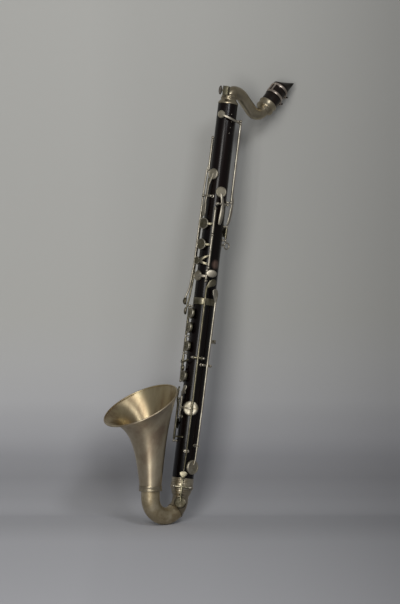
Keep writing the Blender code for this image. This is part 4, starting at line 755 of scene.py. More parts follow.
class Axle:
    """A hinge rod over the wood: along the body, or across it."""

    def __init__(self, station, turn, half_length, across=False, height=AXLE_HEIGHT, seat=None):
        self.station = station
        self.half = half_length
        self.seat = seat
        self.reach = (seat if seat else wood_radius(station)) + height
        self.centre = from_axis(station, turn, self.reach)
        self.axis = around(turn) if across else -UP

    def at(self, along):
        return self.centre + self.axis * along

    def post(self, along):
        """A turned post with a ball head on the rod, standing square on the wood."""
        head = self.at(along)
        flat = Vector((head.x, head.y - AXIS_Y, 0.0))
        station = STRAP_STATION - head.z
        foot = self.seat if self.seat else wood_radius(station) + GAP
        top = flat.length - foot
        outline = [(BALL_RADIUS * math.sin(math.radians(a)), top + BALL_RADIUS * math.cos(math.radians(a)))
                   for a in range(0, 136, 15)]
        outline += [(STEM_RADIUS, top - BALL_RADIUS * 1.15), (STEM_RADIUS, 0.0016), (STEM_RADIUS * 1.2, 0.0010),
                    (FOOT_RADIUS, 0.0007), (FOOT_RADIUS, 0.0), (0.0, 0.0)]
        base = Vector((0.0, AXIS_Y, head.z)) + flat.normalized() * foot
        return turned(outline, placing(base, flat), POST_SIDES)

    def rod(self):
        end = self.half + BALL_RADIUS * 0.6
        return cylinder(self.at(-end), self.at(end), ROD_RADIUS, POST_SIDES)

    def posts(self, name, *between):
        """The rod with its posts at both ends and any between, and a slotted screw in each end."""
        stands = [self.post(along) for along in (-self.half, self.half, *between)]
        for side in (-1.0, 1.0):
            centre = self.at(side * (self.half + BALL_RADIUS - SCREW_SINK))
            stands += screw_head(placing(centre, self.axis * side, UP + outward(17.0)))
        return finished(joined(self.rod(), *stands), name, BRIGHT)

    def tube(self, start, end):
        return cylinder(self.at(start), self.at(end), TUBE_RADIUS)



def pad_cup(station, turn, radius, seat=CHIMNEY_RISE):
    """A domed cup with its pad, closed over its tone hole."""
    base = over(station, turn, seat + GAP)
    return cup_on(placing(base, outward(turn)), radius)


RIM_PLACE = 0.825                # a cup's raised rim, as shares of its radius
RIM_HALF = 0.065
RIM_RISE = 0.00045
RIM_THICK = 0.0007


def cup_on(place, radius):
    pad = radius - PAD_INSET
    top = PAD_THICKNESS + CUP_HEIGHT
    wall = PAD_THICKNESS * 0.8
    crown = [(radius * math.sin(math.radians(a)), top - CUP_DISH * math.sin(math.radians(2 * a)) ** 2)
             for a in (0, 8, 16, 24, 32, 40, 48)]
    rim, half = radius * RIM_PLACE, radius * RIM_HALF
    crown += [(rim - half * math.cos(math.radians(a)), crown[-1][1] + RIM_RISE * math.sin(math.radians(a)))
              for a in range(0, 181, 30)]
    start_radius, start_top = crown[-1]
    edge = [(start_radius + (radius - start_radius) * math.sin(math.radians(a)),
             wall + (start_top - wall) * math.cos(math.radians(a))) for a in range(10, 91, 10)]
    outline = crown + edge + [(radius, wall * 0.9), (pad, wall * 0.7), (pad, 0.0), (0.0, 0.0)]
    item = turned(outline, place, CUP_SIDES)
    item["part"] = "_cup"
    return item


def rimmed_cup(station, turn, radius):
    """A plateau cup and the bright rim that stands round its top."""
    place = placing(over(station, turn, CHIMNEY_RISE + GAP), outward(turn))
    middle, height = radius * 0.90, PAD_THICKNESS + CUP_HEIGHT - CUP_DISH
    outline = [(middle + RIM_THICK * math.cos(math.radians(a)), height + RIM_THICK * math.sin(math.radians(a)))
               for a in range(0, 360, 30)]
    rim = turned(outline + outline[:1], place, CUP_SIDES)
    rim["part"] = "_rim"
    return [cup_on(place, radius), rim]


def cup_ribs(place, radius):
    """Two straps that cross on a big cup, and the small ring at its middle."""
    top = PAD_THICKNESS + CUP_HEIGHT
    pieces = []
    for quarter in (0, 1):
        way = Vector((1.0, 0.0, 0.0)) if quarter else Vector((0.0, 1.0, 0.0))
        points = []
        for k in range(-10, 11):
            reach = radius * 0.97 * math.sin(math.radians(9 * k))
            dish = CUP_DISH * math.sin(math.radians(2 * abs(4.8 * k))) ** 2
            drop = (CUP_HEIGHT * 0.9) * max(abs(k) / 10.0 - 0.8, 0.0) ** 2 * 6.0
            points.append(place @ (way * reach + Vector((0.0, 0.0, top - dish - drop))))
        pieces.append(wire(points, [0.00055] * len(points), 12))
    ring = [(0.0016 + 0.00035 * math.cos(math.radians(a)), top + 0.00035 * math.sin(math.radians(a)))
            for a in range(0, 360, 30)]
    pieces.append(turned(ring + ring[:1], place, 40))
    return pieces


CUP_TOP = CHIMNEY_RISE + GAP + PAD_THICKNESS + CUP_HEIGHT
# Keys drawn in a darker olive silver: partly silver gone dull, partly painted shade where they face away from the
# light
DARKENED_KEYS = ("left_plateau", "right_plateau", "vent", "thumb", "bow_key", "lower_trill", "a_flat", "e_lever")


def key(name, axle, start, end, pieces, open_angle=0.0):
    """A key: a hinge tube with what is brazed to it, hung on its axle.

    An open-standing key is modelled closed and swung open by open_angle.
    """
    # These keys take the olive silver, partly for dull silver and partly as painted shade
    darkened = name.startswith(DARKENED_KEYS)
    looks = {"_arm": OLIVE if darkened else BRIGHT, "_cup": OLIVE if darkened else CUP, "_rim": BRIGHT, "_touch": DIM,
             "_tube": BRIGHT}
    # Painted shade: the bow key's cup, which faces the key lamp, takes the darkest silver
    if name == "bow_key":
        looks["_cup"] = DIM
    tube_part = "_tube" if name.startswith("left_plateau") else "_arm"
    groups = {tube_part: [axle.tube(start, end)]}
    for piece in pieces:
        groups.setdefault(piece.get("part", "_arm"), []).append(piece)
    for part, group in groups.items():
        item = joined(*group)
        if open_angle:
            swung(item, axle.centre, axle.axis, open_angle)
        finished(item, name, looks[part], part)


def lever(stops):
    """A round lever through stops of station, turn, height and radius."""
    return wire([over(*stop[:3]) for stop in stops], [stop[3] for stop in stops])


def joint_outline(top, bottom):
    """Outer profile of the wood between two stations, top to bottom."""
    stops = [top] + [s for s in (TAPER_START, TAPER_END) if top < s < bottom] + [bottom]
    return [(wood_radius(s), -s) for s in stops]


# Tone holes as station, turn and cup radius
REGISTER_HOLE = (upper(0.0591), -65.0, SMALL_CUP)
THROAT_A_HOLE = (upper(0.3674), -70.0, THROAT_CUP)
THROAT_G_SHARP_HOLE = (upper(0.4556), -20.3, THROAT_CUP)
UPPER_TRILL_HOLE = (upper(0.2113), 162.0, SMALL_CUP)
LOWER_TRILL_HOLE = (upper(0.4008), 161.0, SMALL_CUP)
LEFT_HOLES = ((upper(0.6240), -84.0, PLATEAU_CUP), (upper(0.7306), -84.0, PLATEAU_CUP),
              (upper(0.8155), -96.0, SMALL_CUP))
THUMB_HOLE = (upper(0.6487), 92.0, THROAT_CUP)
C_SHARP_HOLE = (upper(0.8914), -86.0, C_SHARP_CUP)
RIGHT_HOLES = ((lower(0.0863), -91.0, RIGHT_CUP), (lower(0.1611), -93.0, RIGHT_CUP),
               (lower(0.2585), -90.0, RIGHT_CUP))
VENT_HOLE = (lower(0.4152), -90.0, RIGHT_CUP)
F_HOLE = (lower(0.5784), -38.0, BIG_CUP)
A_FLAT_HOLE = (lower(0.6606), -158.0, THROAT_CUP)
F_SHARP_HOLE = (lower(0.8797), 3.0, F_SHARP_CUP)


def tone_holes(item, holes):
    """Raises a chimney for each hole and drills it."""
    chimneys = []
    drills = []
    for station, turn, radius in holes:
        seat = wood_radius(station) + CHIMNEY_RISE
        rim = radius - PAD_INSET * 2
        place = placing(from_axis(station, turn, 0.0), outward(turn))
        root = math.sqrt(wood_radius(station) ** 2 - rim ** 2) - CHIMNEY_ROOT
        drill = radius * HOLE_SHARE
        low = BORE_RADIUS * 0.6
        drills.append(turned([(0.0, seat + 0.004), (drill, seat + 0.004), (drill, low), (0.0, low)],
                             place @ Matrix.Rotation(0.3, 4, "Z"), CUP_SIDES))
        chimneys.append(turned([(rim, seat), (rim, root), (drill, root), (drill, seat)], place, CUP_SIDES))
    return joined(cut(item, *drills), *chimneys)


def upper_joint():
    """Upper half of the wooden body."""
    outline = [(0.0, 0.0)] + joint_outline(0.0, UPPER_LENGTH) + [(0.0, -UPPER_LENGTH)]
    item = turned(outline, body_frame(0.0), BODY_SIDES)
    holes = [REGISTER_HOLE, THROAT_A_HOLE, THROAT_G_SHARP_HOLE, UPPER_TRILL_HOLE, LOWER_TRILL_HOLE,
             *LEFT_HOLES, THUMB_HOLE, C_SHARP_HOLE]
    finished(tone_holes(item, holes), "upper_joint", WOOD)


PINS = ((0.0161, -9.2), (0.0277, -3.5), (0.0365, -7.0), (0.0457, -10.4))
PIN_RADIUS = 0.0007


def pins():
    """Four small silver pins let into the wood near its top."""
    outline = [(PIN_RADIUS * math.sin(math.radians(a)), PIN_RADIUS * 0.6 * math.cos(math.radians(a)))
               for a in range(0, 91, 15)]
    outline += [(PIN_RADIUS, -0.0004), (0.0, -0.0004)]
    heads = [turned(outline, placing(over(station, turn, 0.0), outward(turn)), 16) for station, turn in PINS]
    added(joined(*heads), "upper_joint_pins", BRIGHT)


def lower_joint():
    """Lower half of the wooden body, with a step under each ferrule."""
    step = LOWER_RADIUS - FERRULE_WALL + FERRULE_PROUD - GAP
    middle_end = LOWER_TOP + MIDDLE_FERRULE_HEIGHT + GAP
    bottom_start = BODY_END - BOTTOM_FERRULE_HEIGHT - GAP
    outline = [(0.0, -LOWER_TOP), (step, -LOWER_TOP), (step, -middle_end)]
    outline += joint_outline(middle_end, bottom_start)
    outline += [(step, -bottom_start), (step, -BODY_END), (0.0, -BODY_END)]
    item = turned(outline, body_frame(0.0), BODY_SIDES)
    holes = [*RIGHT_HOLES, VENT_HOLE, F_HOLE, A_FLAT_HOLE, F_SHARP_HOLE]
    finished(tone_holes(item, holes), "lower_joint", WOOD)


def top_ferrule():
    """Coned cap on the upper joint, with a bead on top, through which the neck's tenon passes."""
    inner = NECK_TENON_RADIUS + GAP
    outer = UPPER_RADIUS + FERRULE_PROUD * 0.5
    top = TOP_FERRULE_HEIGHT
    bead = outer * 0.80
    outline = [(inner, top), (bead - 0.0005, top), (bead, top - 0.0006), (bead, top - 0.0016),
               (bead - 0.0007, top - 0.0022), (bead - 0.0004, top * 0.66), (outer * 0.90, top * 0.42),
               (outer, top * 0.22), (outer, GAP), (inner, GAP)]
    finished(turned(outline, body_frame(0.0), BODY_SIDES), "top_ferrule", SATIN)


def middle_ferrule():
    outer = LOWER_RADIUS + FERRULE_PROUD
    inner = outer - FERRULE_WALL
    top = -LOWER_TOP
    end = top - MIDDLE_FERRULE_HEIGHT
    soft = 0.0005
    outline = [(inner, top), (outer - soft, top), (outer, top - soft), (outer, end + soft),
               (outer - soft, end), (inner, end)]
    finished(turned(outline, body_frame(0.0), BODY_SIDES), "middle_ferrule", OLIVE)


def bottom_ferrule():
    """Socket ring at the foot of the wood, with turned ridges and one bold bead."""
    outer = LOWER_RADIUS + FERRULE_PROUD
    inner = outer - FERRULE_WALL
    top = -(BODY_END - BOTTOM_FERRULE_HEIGHT)
    outline = [(inner, top), (outer, top)]
    for i in range(RIDGE_COUNT):
        start = top - 0.0012 - i * RIDGE_PITCH
        outline += [(outer, start), (outer - RIDGE_DIP, start - RIDGE_PITCH * 0.35),
                    (outer, start - RIDGE_PITCH * 0.7)]
    bead = -BODY_END + BEAD_FROM_END
    crown = BEAD_HALF * 0.4
    outline += [(outer, bead + BEAD_HALF), (outer + BEAD_PROUD, bead + crown),
                (outer + BEAD_PROUD, bead - crown), (outer, bead - BEAD_HALF), (outer, -BODY_END),
                (inner, -BODY_END)]
    finished(turned(outline, body_frame(0.0), BODY_SIDES), "bottom_ferrule", RING)


# Neck and mouthpiece

def neck_point(reach, rise):
    return Vector((0.0, AXIS_Y + reach, STRAP_STATION + rise))


MOUTH_AXIS = Vector((0.0, math.sin(math.radians(MOUTHPIECE_TILT)), math.cos(math.radians(MOUTHPIECE_TILT))))
REED_SIDE = Vector((0.0, MOUTH_AXIS.z, -MOUTH_AXIS.y))
SOCKET_RIM = neck_point(NECK_SOCKET_REACH, NECK_SOCKET_RISE)


def bend(point, heading, radius, sweep, count):
    """Points along an arc in the YZ plane; heading is in degrees from up towards the back."""
    side = math.copysign(1.0, sweep)
    points = []
    for i in range(1, count + 1):
        turned_to = math.radians(heading + sweep * i / count)
        begun = math.radians(heading)
        shift_y = side * radius * (math.cos(begun) - math.cos(turned_to))
        shift_z = side * radius * (math.sin(turned_to) - math.sin(begun))
        points.append(point + Vector((0.0, shift_y, shift_z)))
    return points


def neck_line():
    """Centre line of the neck: up, over in two bends, down a slope and up into the socket."""
    start = neck_point(0.0, TOP_FERRULE_HEIGHT + GAP)
    path = [start]
    path += bend(start, 0.0, NECK_FIRST_BEND, 90.0, 24)
    path += bend(path[-1], 90.0, NECK_SECOND_BEND, NECK_SLOPE, 16)
    down = Vector((0.0, math.cos(math.radians(NECK_SLOPE)), -math.sin(math.radians(NECK_SLOPE))))
    floor = SOCKET_RIM - MOUTH_AXIS * (NECK_SOCKET_DEPTH + GAP)
    apart = floor - path[-1]
    cross = down.y * MOUTH_AXIS.z - down.z * MOUTH_AXIS.y
    ahead = (apart.y * MOUTH_AXIS.z - apart.z * MOUTH_AXIS.y) / cross
    corner = path[-1] + down * ahead
    tangent = (floor - corner).length * NECK_KNEE_SHARE
    sweep = 180.0 - (90.0 - NECK_SLOPE) - MOUTHPIECE_TILT
    radius = tangent / math.tan(math.radians(sweep / 2))
    turn_in = corner - down * tangent
    path.append(turn_in)
    path += bend(turn_in, 90.0 + NECK_SLOPE, radius, -sweep, 30)
    path.append(floor)
    return path


def ring_at(point, way, radius, sides):
    """A ring of points round a way that lies in the YZ plane."""
    side = Vector((1.0, 0.0, 0.0))
    across = way.cross(side)
    return [point + side * (radius * math.cos(2 * math.pi * k / sides))
            + across * (radius * math.sin(2 * math.pi * k / sides)) for k in range(sides)]


def tube_rings(path, radius, sides):
    """Rings square to a path in the YZ plane."""
    rings = []
    for i, point in enumerate(path):
        way = (path[min(i + 1, len(path) - 1)] - path[max(i - 1, 0)]).normalized()
        rings.append(ring_at(point, way, radius, sides))
    return rings


def neck():
    """Swan neck: a collar and tenon below, the bent tube, and the mouthpiece's socket."""
    path = neck_line()
    sides = 48
    foot = path[0] - UP * 0.0010
    outer = loft(tube_rings([foot, *path], NECK_TUBE_RADIUS, sides))
    socket = NECK_SOCKET_RADIUS
    depth = NECK_SOCKET_DEPTH
    skirt = NECK_TUBE_RADIUS + 0.0004
    cup_end = -depth - NECK_SOCKET_TAPER
    band = -depth * 0.75
    cup = turned([(0.0, 0.0), (socket + 0.0004, 0.0), (socket + 0.0010, -0.0005), (socket + 0.0010, -0.0026),
                  (socket, -0.0034), (socket - 0.0002, band), (socket + 0.0005, band - 0.0005),
                  (socket + 0.0005, band - 0.0014), (socket - 0.0003, band - 0.0019),
                  (socket - 0.0003, band - 0.0024), (socket + 0.0002, band - 0.0028),
                  (socket + 0.0002, band - 0.0034), (socket - 0.0010, band - 0.0038),
                  (skirt, cup_end), (0.0, cup_end)],
                 placing(SOCKET_RIM, MOUTH_AXIS, Vector((0.3, 0.2, 1.0))), 64)
    base = TOP_FERRULE_HEIGHT + GAP
    collar_top = base + NECK_COLLAR_HEIGHT
    tenon = NECK_TENON_RADIUS
    collar = turned([(0.0, collar_top), (skirt, collar_top), (NECK_COLLAR_RADIUS, base + 0.0030),
                     (NECK_COLLAR_RADIUS + 0.0008, base + 0.0020), (NECK_COLLAR_RADIUS + 0.0008, base),
                     (tenon, base), (tenon, -NECK_TENON_LENGTH), (0.0, -NECK_TENON_LENGTH)],
                    body_frame(0.0), 64)
    item = joined(outer, cup, collar)
    finished(item, "neck", SATIN)


def mouth_point(along, reedward=0.0, side=0.0):
    """A point of the mouthpiece: along its axis, towards the reed, and to the player's left."""
    return SOCKET_RIM + MOUTH_AXIS * along + REED_SIDE * reedward + Vector((side, 0.0, 0.0))


def mouthpiece_ring(along, top, table, half_width, level=0.0, sides=64):
    """A section that is round on top and flat on the reed's side; it is widest at level."""
    ring = []
    for k in range(sides):
        angle = 2 * math.pi * (k + 0.5) / sides
        rise = math.sin(angle)
        reedward = level + (level + top) * rise if rise < 0.0 else min(level + half_width * rise, table)
        ring.append(mouth_point(along, reedward, half_width * math.cos(angle)))
    return ring


def mouthpiece():
    """Beaked mouthpiece: a round shank, a flat table and a beak that slopes to the tip."""
    radius = MOUTHPIECE_RADIUS
    table = radius - TABLE_DROP
    beak = MOUTHPIECE_LENGTH - BEAK_LENGTH
    rings = [mouthpiece_ring(GAP, radius, radius, radius),
             mouthpiece_ring(REED_HEEL, radius, radius, radius),
             mouthpiece_ring(REED_HEEL + 0.0004, radius, table, radius),
             mouthpiece_ring(beak, radius, table, radius)]
    for share in (0.15, 0.35, 0.6, 0.8, 1.0):
        level = (table - 0.0008) * share
        top = radius - (radius + table - 0.0018) * share ** 0.92
        width = radius + (TIP_HALF_WIDTH - radius) * share ** 0.8
        rings.append(mouthpiece_ring(beak + BEAK_LENGTH * share, top, table, width, level))
    finished(loft(rings), "mouthpiece", EBONITE)


def reed():
    """Cane reed on the table: full thickness at the heel, shaved down to the tip."""
    table = MOUTHPIECE_RADIUS - TABLE_DROP + GAP
    cut_start = MOUTHPIECE_LENGTH * 0.52
    stops = ((REED_HEEL + 0.001, 1.0), (cut_start, 1.0), (cut_start + 0.010, 0.55),
             (MOUTHPIECE_LENGTH - 0.001, 0.12))
    rings = []
    for along, share in stops:
        thick = (REED_THICKNESS - GAP) * share
        section = ((0.0, 1.0), (REED_EDGE, 1.0), (1.0, 0.55), (1.0, -0.55), (REED_EDGE, -1.0), (0.0, -1.0))
        rings.append([mouth_point(along, table + thick * rise, REED_HALF_WIDTH * side)
                      for rise, side in section])
    finished(loft(rings), "reed", CANE)


def ligature():
    """Two bands joined by a strap on top and by a pair of lugs on the reed's side."""
    inner = MOUTHPIECE_RADIUS + GAP
    outer = inner + LIGATURE_WALL
    band = LIGATURE_BAND / 2
    low, high = LIGATURE_STATIONS
    outline = [(outer, band), (outer, -band), (inner, -band), (inner, band)]
    bands = [turned(outline, placing(mouth_point(along), MOUTH_AXIS), 96) for along in (low, high)]
    pieces = []
    middle = (inner + outer) / 2
    for side in (-1.0, 1.0):
        angle = math.radians(side * LIGATURE_BAR_SPREAD)
        out = Vector((math.sin(angle), 0.0, 0.0)) - REED_SIDE * math.cos(angle)
        pieces.append(block(mouth_point((low + high) / 2) + out * middle,
                            (LIGATURE_WALL * 1.8, 0.0026, high - low), out, MOUTH_AXIS))
    for along in (low, high):
        for side in (-1.0, 1.0):
            pieces.append(block(mouth_point(along, outer + LUG_REACH / 2 - 0.0008, side * 0.0024),
                                (LUG_REACH, 0.0016, LIGATURE_BAND - 0.0004), REED_SIDE, MOUTH_AXIS))
    item = joined(bands[0], bands[1], *pieces)
    finished(item, "ligature", PALE)


def ligature_screw(name, along):
    """Thumb screw through a band's lugs, with a flat wing for the fingers."""
    reach = MOUTHPIECE_RADIUS + GAP + LIGATURE_WALL + LUG_REACH * 0.55
    end = mouth_point(along, reach, 0.0058)
    start = mouth_point(along, reach, -SCREW_SIDE)
    shank = cylinder(start, end, SCREW_RADIUS, POST_SIDES)
    collar = cylinder(mouth_point(along, reach, -0.0060), mouth_point(along, reach, -0.0036),
                      SCREW_RADIUS * 1.7, POST_SIDES)
    wing = ellipse_button(start, Vector((0.0, 0.0, 1.0)).cross(Vector((1.0, 0.0, 0.0))), WING_LENGTH / 2,
                          WING_WIDTH / 2, WING_THICKNESS, REED_SIDE)
    item = joined(shank, collar, wing)
    finished(item, name, DARK)


def lyre_parts():
    """Square socket for a music lyre beside the neck's collar, clamped by a wing screw."""
    out = outward(LYRE_TURN)
    way = outward(LYRE_SCREW_TURN)
    side = around(LYRE_TURN)
    width = 2 * LYRE_HALF_WIDTH
    reach = NECK_COLLAR_RADIUS + 0.0008 + GAP + LYRE_HALF_WIDTH
    foot = neck_point(0.0, TOP_FERRULE_HEIGHT + GAP) + out * reach
    middle = foot + UP * (LYRE_HEIGHT / 2 + 0.0016)
    body = block(middle, (width, width, LYRE_HEIGHT), side, UP)
    slot = block(middle + UP * 0.002, (LYRE_SLOT, LYRE_SLOT, LYRE_HEIGHT), side, UP)
    boss_end = middle + way * (LYRE_HALF_WIDTH * 1.3)
    boss = cylinder(middle + way * (LYRE_SLOT * 0.7), boss_end, LYRE_SCREW_RADIUS * 2.1, 32)
    finished(joined(cut(body, slot), boss), "lyre_holder", OLIVE)
    start = middle + way * (LYRE_SLOT * 0.25)
    end = boss_end + way * LYRE_SCREW_LENGTH * 0.5
    shank = cylinder(start, end, LYRE_SCREW_RADIUS, POST_SIDES)
    wing_middle = boss_end + way * (GAP + LYRE_SCREW_LENGTH * 0.35)
    wing = ellipse_button(wing_middle, way.cross(UP), LYRE_WING_LENGTH / 2, LYRE_SCREW_LENGTH * 0.33,
                          LYRE_SCREW_RADIUS * 1.5, UP)
    screw = joined(shank, wing)
    finished(screw, "lyre_screw", DARK)


# Bow and bell

BOW_TOP = BODY_END + GAP + COLLAR_LENGTH


def bow_centre(angle):
    """Centre line of the bow: down from the wood and round to the bell, by the angle swept."""
    start = from_axis(BOW_TOP + BOW_DROP - COLLAR_LENGTH, 0.0, 0.0)
    turn = math.radians(angle)
    return start + Vector((0.0, -BOW_RADIUS * (1.0 - math.cos(turn)), -BOW_RADIUS * math.sin(turn)))


def bow_way(angle):
    turn = math.radians(angle)
    return Vector((0.0, -math.sin(turn), -math.cos(turn)))


BOW_SWEEP = 180.0 - BELL_LEAN


def bow_tube_radius(angle):
    share = max(angle, 0.0) / BOW_SWEEP
    return BOW_TUBE_START + (BOW_TUBE_END - BOW_TUBE_START) * share


def arc_rings(start, end, count, inset, sides=64):
    """Rings square to the bow's centre line between two angles."""
    rings = []
    for i in range(count + 1):
        angle = start + (end - start) * i / count
        rings.append(ring_at(bow_centre(angle), bow_way(angle), bow_tube_radius(angle) - inset, sides))
    return rings


def leg_ring(along, inset, sides=64):
    """A ring on the straight leg between the bow's bend and the bell."""
    point = bow_centre(BOW_SWEEP) + bow_way(BOW_SWEEP) * along
    return ring_at(point, bow_way(BOW_SWEEP), BOW_TUBE_END - inset, sides)


def bow_elbow():
    """First piece of the bow: tenon, turned collar, the start of the bend, and the low hole's chimney."""
    tenon_top = -(BODY_END - BOW_TENON_LENGTH)
    collar_top = -(BODY_END + GAP)
    collar_end = collar_top - COLLAR_LENGTH
    radius = BOW_TUBE_START
    step = COLLAR_RADIUS - 0.0010
    outline = [(0.0, tenon_top), (BOW_TENON_RADIUS, tenon_top), (BOW_TENON_RADIUS, collar_top),
               (COLLAR_RADIUS, collar_top), (COLLAR_RADIUS, collar_top - 0.0034), (step, collar_top - 0.0044),
               (step, collar_top - 0.0060), (radius + 0.0006, collar_end), (radius, collar_end - 0.0012),
               (radius, -bow_start_station()), (0.0, -bow_start_station())]
    collar = turned(outline, body_frame(0.0), 96)
    bend = loft(arc_rings(-0.5, ELBOW_SWEEP, 24, 0.0))
    ring = arc_ring(ELBOW_SWEEP - BOW_RING_SWEEP, ELBOW_SWEEP, BOW_RING_PROUD)
    chimney = turned([(0.0, BOW_SEAT), (BOW_CUP - 2 * PAD_INSET, BOW_SEAT), (BOW_CUP - 2 * PAD_INSET, 0.004),
                      (0.0, 0.004)], bow_hole_frame(), 48)
    item = joined(collar, bend, ring, chimney)
    finished(item, "bow_elbow", SATIN)


def bow_start_station():
    return BOW_TOP + BOW_DROP - COLLAR_LENGTH


def arc_ring(start, end, proud):
    """A soldered band round the bow between two angles."""
    rings = arc_rings(start, end, 2, -proud)
    return loft(rings)


BOW_HOLE_ANGLE = 14.5
BOW_HOLE_TURN = -34.0
BOW_SEAT = BOW_TUBE_START + 0.0016


def bow_normal(angle, turn):
    """Outward direction on the bent tube, at an angle along the bend and a turn round the tube."""
    around_tube = math.radians(turn)
    bend = math.radians(angle)
    front = Vector((0.0, -math.cos(bend), math.sin(bend)))
    return Vector((math.cos(around_tube), 0.0, 0.0)) - front * math.sin(around_tube)


def bow_hole_frame():
    return placing(bow_centre(BOW_HOLE_ANGLE), bow_normal(BOW_HOLE_ANGLE, BOW_HOLE_TURN))


def bow():
    """Main bend, from the ring at the elbow round to the bell."""
    gap = math.degrees(GAP / BOW_RADIUS)
    outer = arc_rings(ELBOW_SWEEP + gap, BOW_SWEEP, 48, 0.0) + [leg_ring(BOW_LEG, 0.0)]
    inner = arc_rings(ELBOW_SWEEP + gap, BOW_SWEEP, 48, BOW_WALL) + [leg_ring(BOW_LEG, BOW_WALL)]
    finished(skin(outer + inner[::-1], closed=True), "bow", BOW)


def bell_base():
    """Where the bow's leg ends and the bell begins."""
    return bow_centre(BOW_SWEEP) + bow_way(BOW_SWEEP) * BOW_LEG


def bell_stops(count, steps=6):
    """Centre, direction and share along the bell, which leans further forward as it rises.

    The stops lie closer together towards the mouth, where the wall curves most.
    """
    point = bell_base()
    stops = [(point.copy(), bow_way(BOW_SWEEP), 0.0)]
    share = 0.0
    for i in range(1, count + 1):
        stride = ((i / count) ** 0.75 - share) / steps
        for _ in range(steps):
            share += stride
            lean = math.radians(BELL_LEAN + (MOUTH_LEAN - BELL_LEAN) * share ** BELL_LEAN_POWER)
            way = Vector((0.0, -math.sin(lean), math.cos(lean)))
            point += way * (stride * BELL_LENGTH)
        stops.append((point.copy(), way, share))
    return stops


def bell_radius(share):
    growth = BELL_MOUTH - BELL_THROAT
    return BELL_THROAT + growth * (BELL_LINEAR_SHARE * share
                                   + (1.0 - BELL_LINEAR_SHARE) * share ** BELL_FLARE_POWER)


MOUTH = bell_stops(48)[-1]
LOOKS[BELL] = metal("bell_look", (0.33, 0.255, 0.18), (0.50, 0.425, 0.30), (0.63, 0.56, 0.41), 0.50, 0.42,
                    40.0, (1.0, 1.0, 0.4), (MOUTH[0], (MOUTH[1] + bow_way(BOW_SWEEP)).normalized()))


def bell():
    """Flared bell: a thin wall that leans forward as it opens, with a wire bead at the rim."""
    sides = 128
    stops = bell_stops(48)
    stops[0] = (stops[0][0] + stops[0][1] * GAP, stops[0][1], 0.0)
    outer = [ring_at(p, w, bell_radius(share), sides) for p, w, share in stops]
    inner = [ring_at(p, w, bell_radius(share) - BELL_WALL, sides) for p, w, share in stops]
    body = skin(outer + inner[::-1], closed=True)
    point, way, _ = stops[-1]
    bead = turned(bead_outline(BELL_MOUTH - BELL_WALL / 2, BELL_RIM_RADIUS), placing(point, way), sides)
    finished(joined(body, bead), "bell", BELL)


def bead_outline(radius, thick, corners=16):
    """A round wire's section, listed down its outer side."""
    return [(radius + thick * math.cos(math.radians(60.0 - 360.0 * k / corners)),
             thick * math.sin(math.radians(60.0 - 360.0 * k / corners))) for k in range(corners)]


def bell_ring():
    """Double ring that covers the joint of bow and bell."""
    inner = BELL_THROAT + 0.0004 + GAP
    outer = inner + BELL_RING_PROUD
    half = BELL_RING_LENGTH / 2
    outline = [(outer, half), (outer, half * 0.55), (outer - 0.0004, half * 0.45),
               (outer - 0.0004, -half * 0.45), (outer, -half * 0.55), (outer, -half), (inner, -half),
               (inner, half)]
    finished(turned(outline, placing(bell_base(), bow_way(BOW_SWEEP)), 96), "bell_ring", RING)


def strap_ring():
    """Ring for the neck strap, brazed upright on a plate that is screwed to the back."""
    plate_out = wood_radius(STRAP_STATION) + GAP
    pieces = back_plate(STRAP_STATION, RING_PLATE_LENGTH, RING_PLATE_WIDTH, plate_out)
    hoop_radius = RING_EYE_RADIUS + RING_WIRE_RADIUS
    hoop = turned(bead_outline(hoop_radius, RING_WIRE_RADIUS, 16),
                  placing(Vector((0.0, 0.0, 0.0)), Vector((1.0, 0.0, 0.0))), 48)
    foot = from_axis(STRAP_STATION, 90.0, plate_out + PLATE_THICKNESS * 0.5)
    stem_end = Vector((0.0, -hoop_radius, 0.0))
    stem = wire([foot, stem_end], [0.0021, 0.0013])
    finished(joined(pieces, hoop, stem), "strap_ring", BRIGHT)


def back_plate(station, length, width, inner):
    """A curved plate that lies on the back of the wood."""
    half = math.degrees(width / 2 / inner)
    count = 18
    work = bmesh.new()
    rows = []
    for reach, z in ((inner, length / 2), (inner + PLATE_THICKNESS, length / 2 - 0.0006),
                     (inner + PLATE_THICKNESS, -length / 2 + 0.0006), (inner, -length / 2)):
        rows.append([work.verts.new(from_axis(station - z, 90.0 + half * (2 * i / count - 1), reach))
                     for i in range(count + 1)])
    for upper, lower in zip(rows, rows[1:] + rows[:1]):
        for i in range(count):
            work.faces.new((upper[i], upper[i + 1], lower[i + 1], lower[i]))
    work.faces.new([row[0] for row in rows])
    work.faces.new([row[-1] for row in rows][::-1])
    bmesh.ops.recalc_face_normals(work, faces=work.faces)
    mesh = bpy.data.meshes.new("plate")
    work.to_mesh(mesh)
    work.free()
    return show(mesh)


def thumb_rest():
    """Hook for the right thumb: a plate on the back with a flat ledge and a turned-up lip."""
    station = LOWER_TOP + THUMB_REST_STATION
    inner = wood_radius(station) + GAP
    plate = back_plate(station, THUMB_PLATE_LENGTH, THUMB_REST_WIDTH * 0.8, inner)
    reach = inner + THUMB_REST_REACH
    thick = 0.0022
    ledge = block(from_axis(station, 90.0, (inner + 0.0006 + reach) / 2),
                  (reach - inner - 0.0006, THUMB_REST_WIDTH, thick), Vector((0.0, 1.0, 0.0)), UP)
    lip = block(from_axis(station - 0.0020, 90.0, reach - thick / 2),
                (thick, THUMB_REST_WIDTH, thick + 0.0034), Vector((0.0, 1.0, 0.0)), UP)
    finished(joined(plate, ledge, lip), "thumb_rest", BRIGHT)


THUMB_AXLE_STATION = upper(0.6603)
THUMB_AXLE_HALF = 0.0105
REGISTER_TOUCH_CLEAR = 0.0010


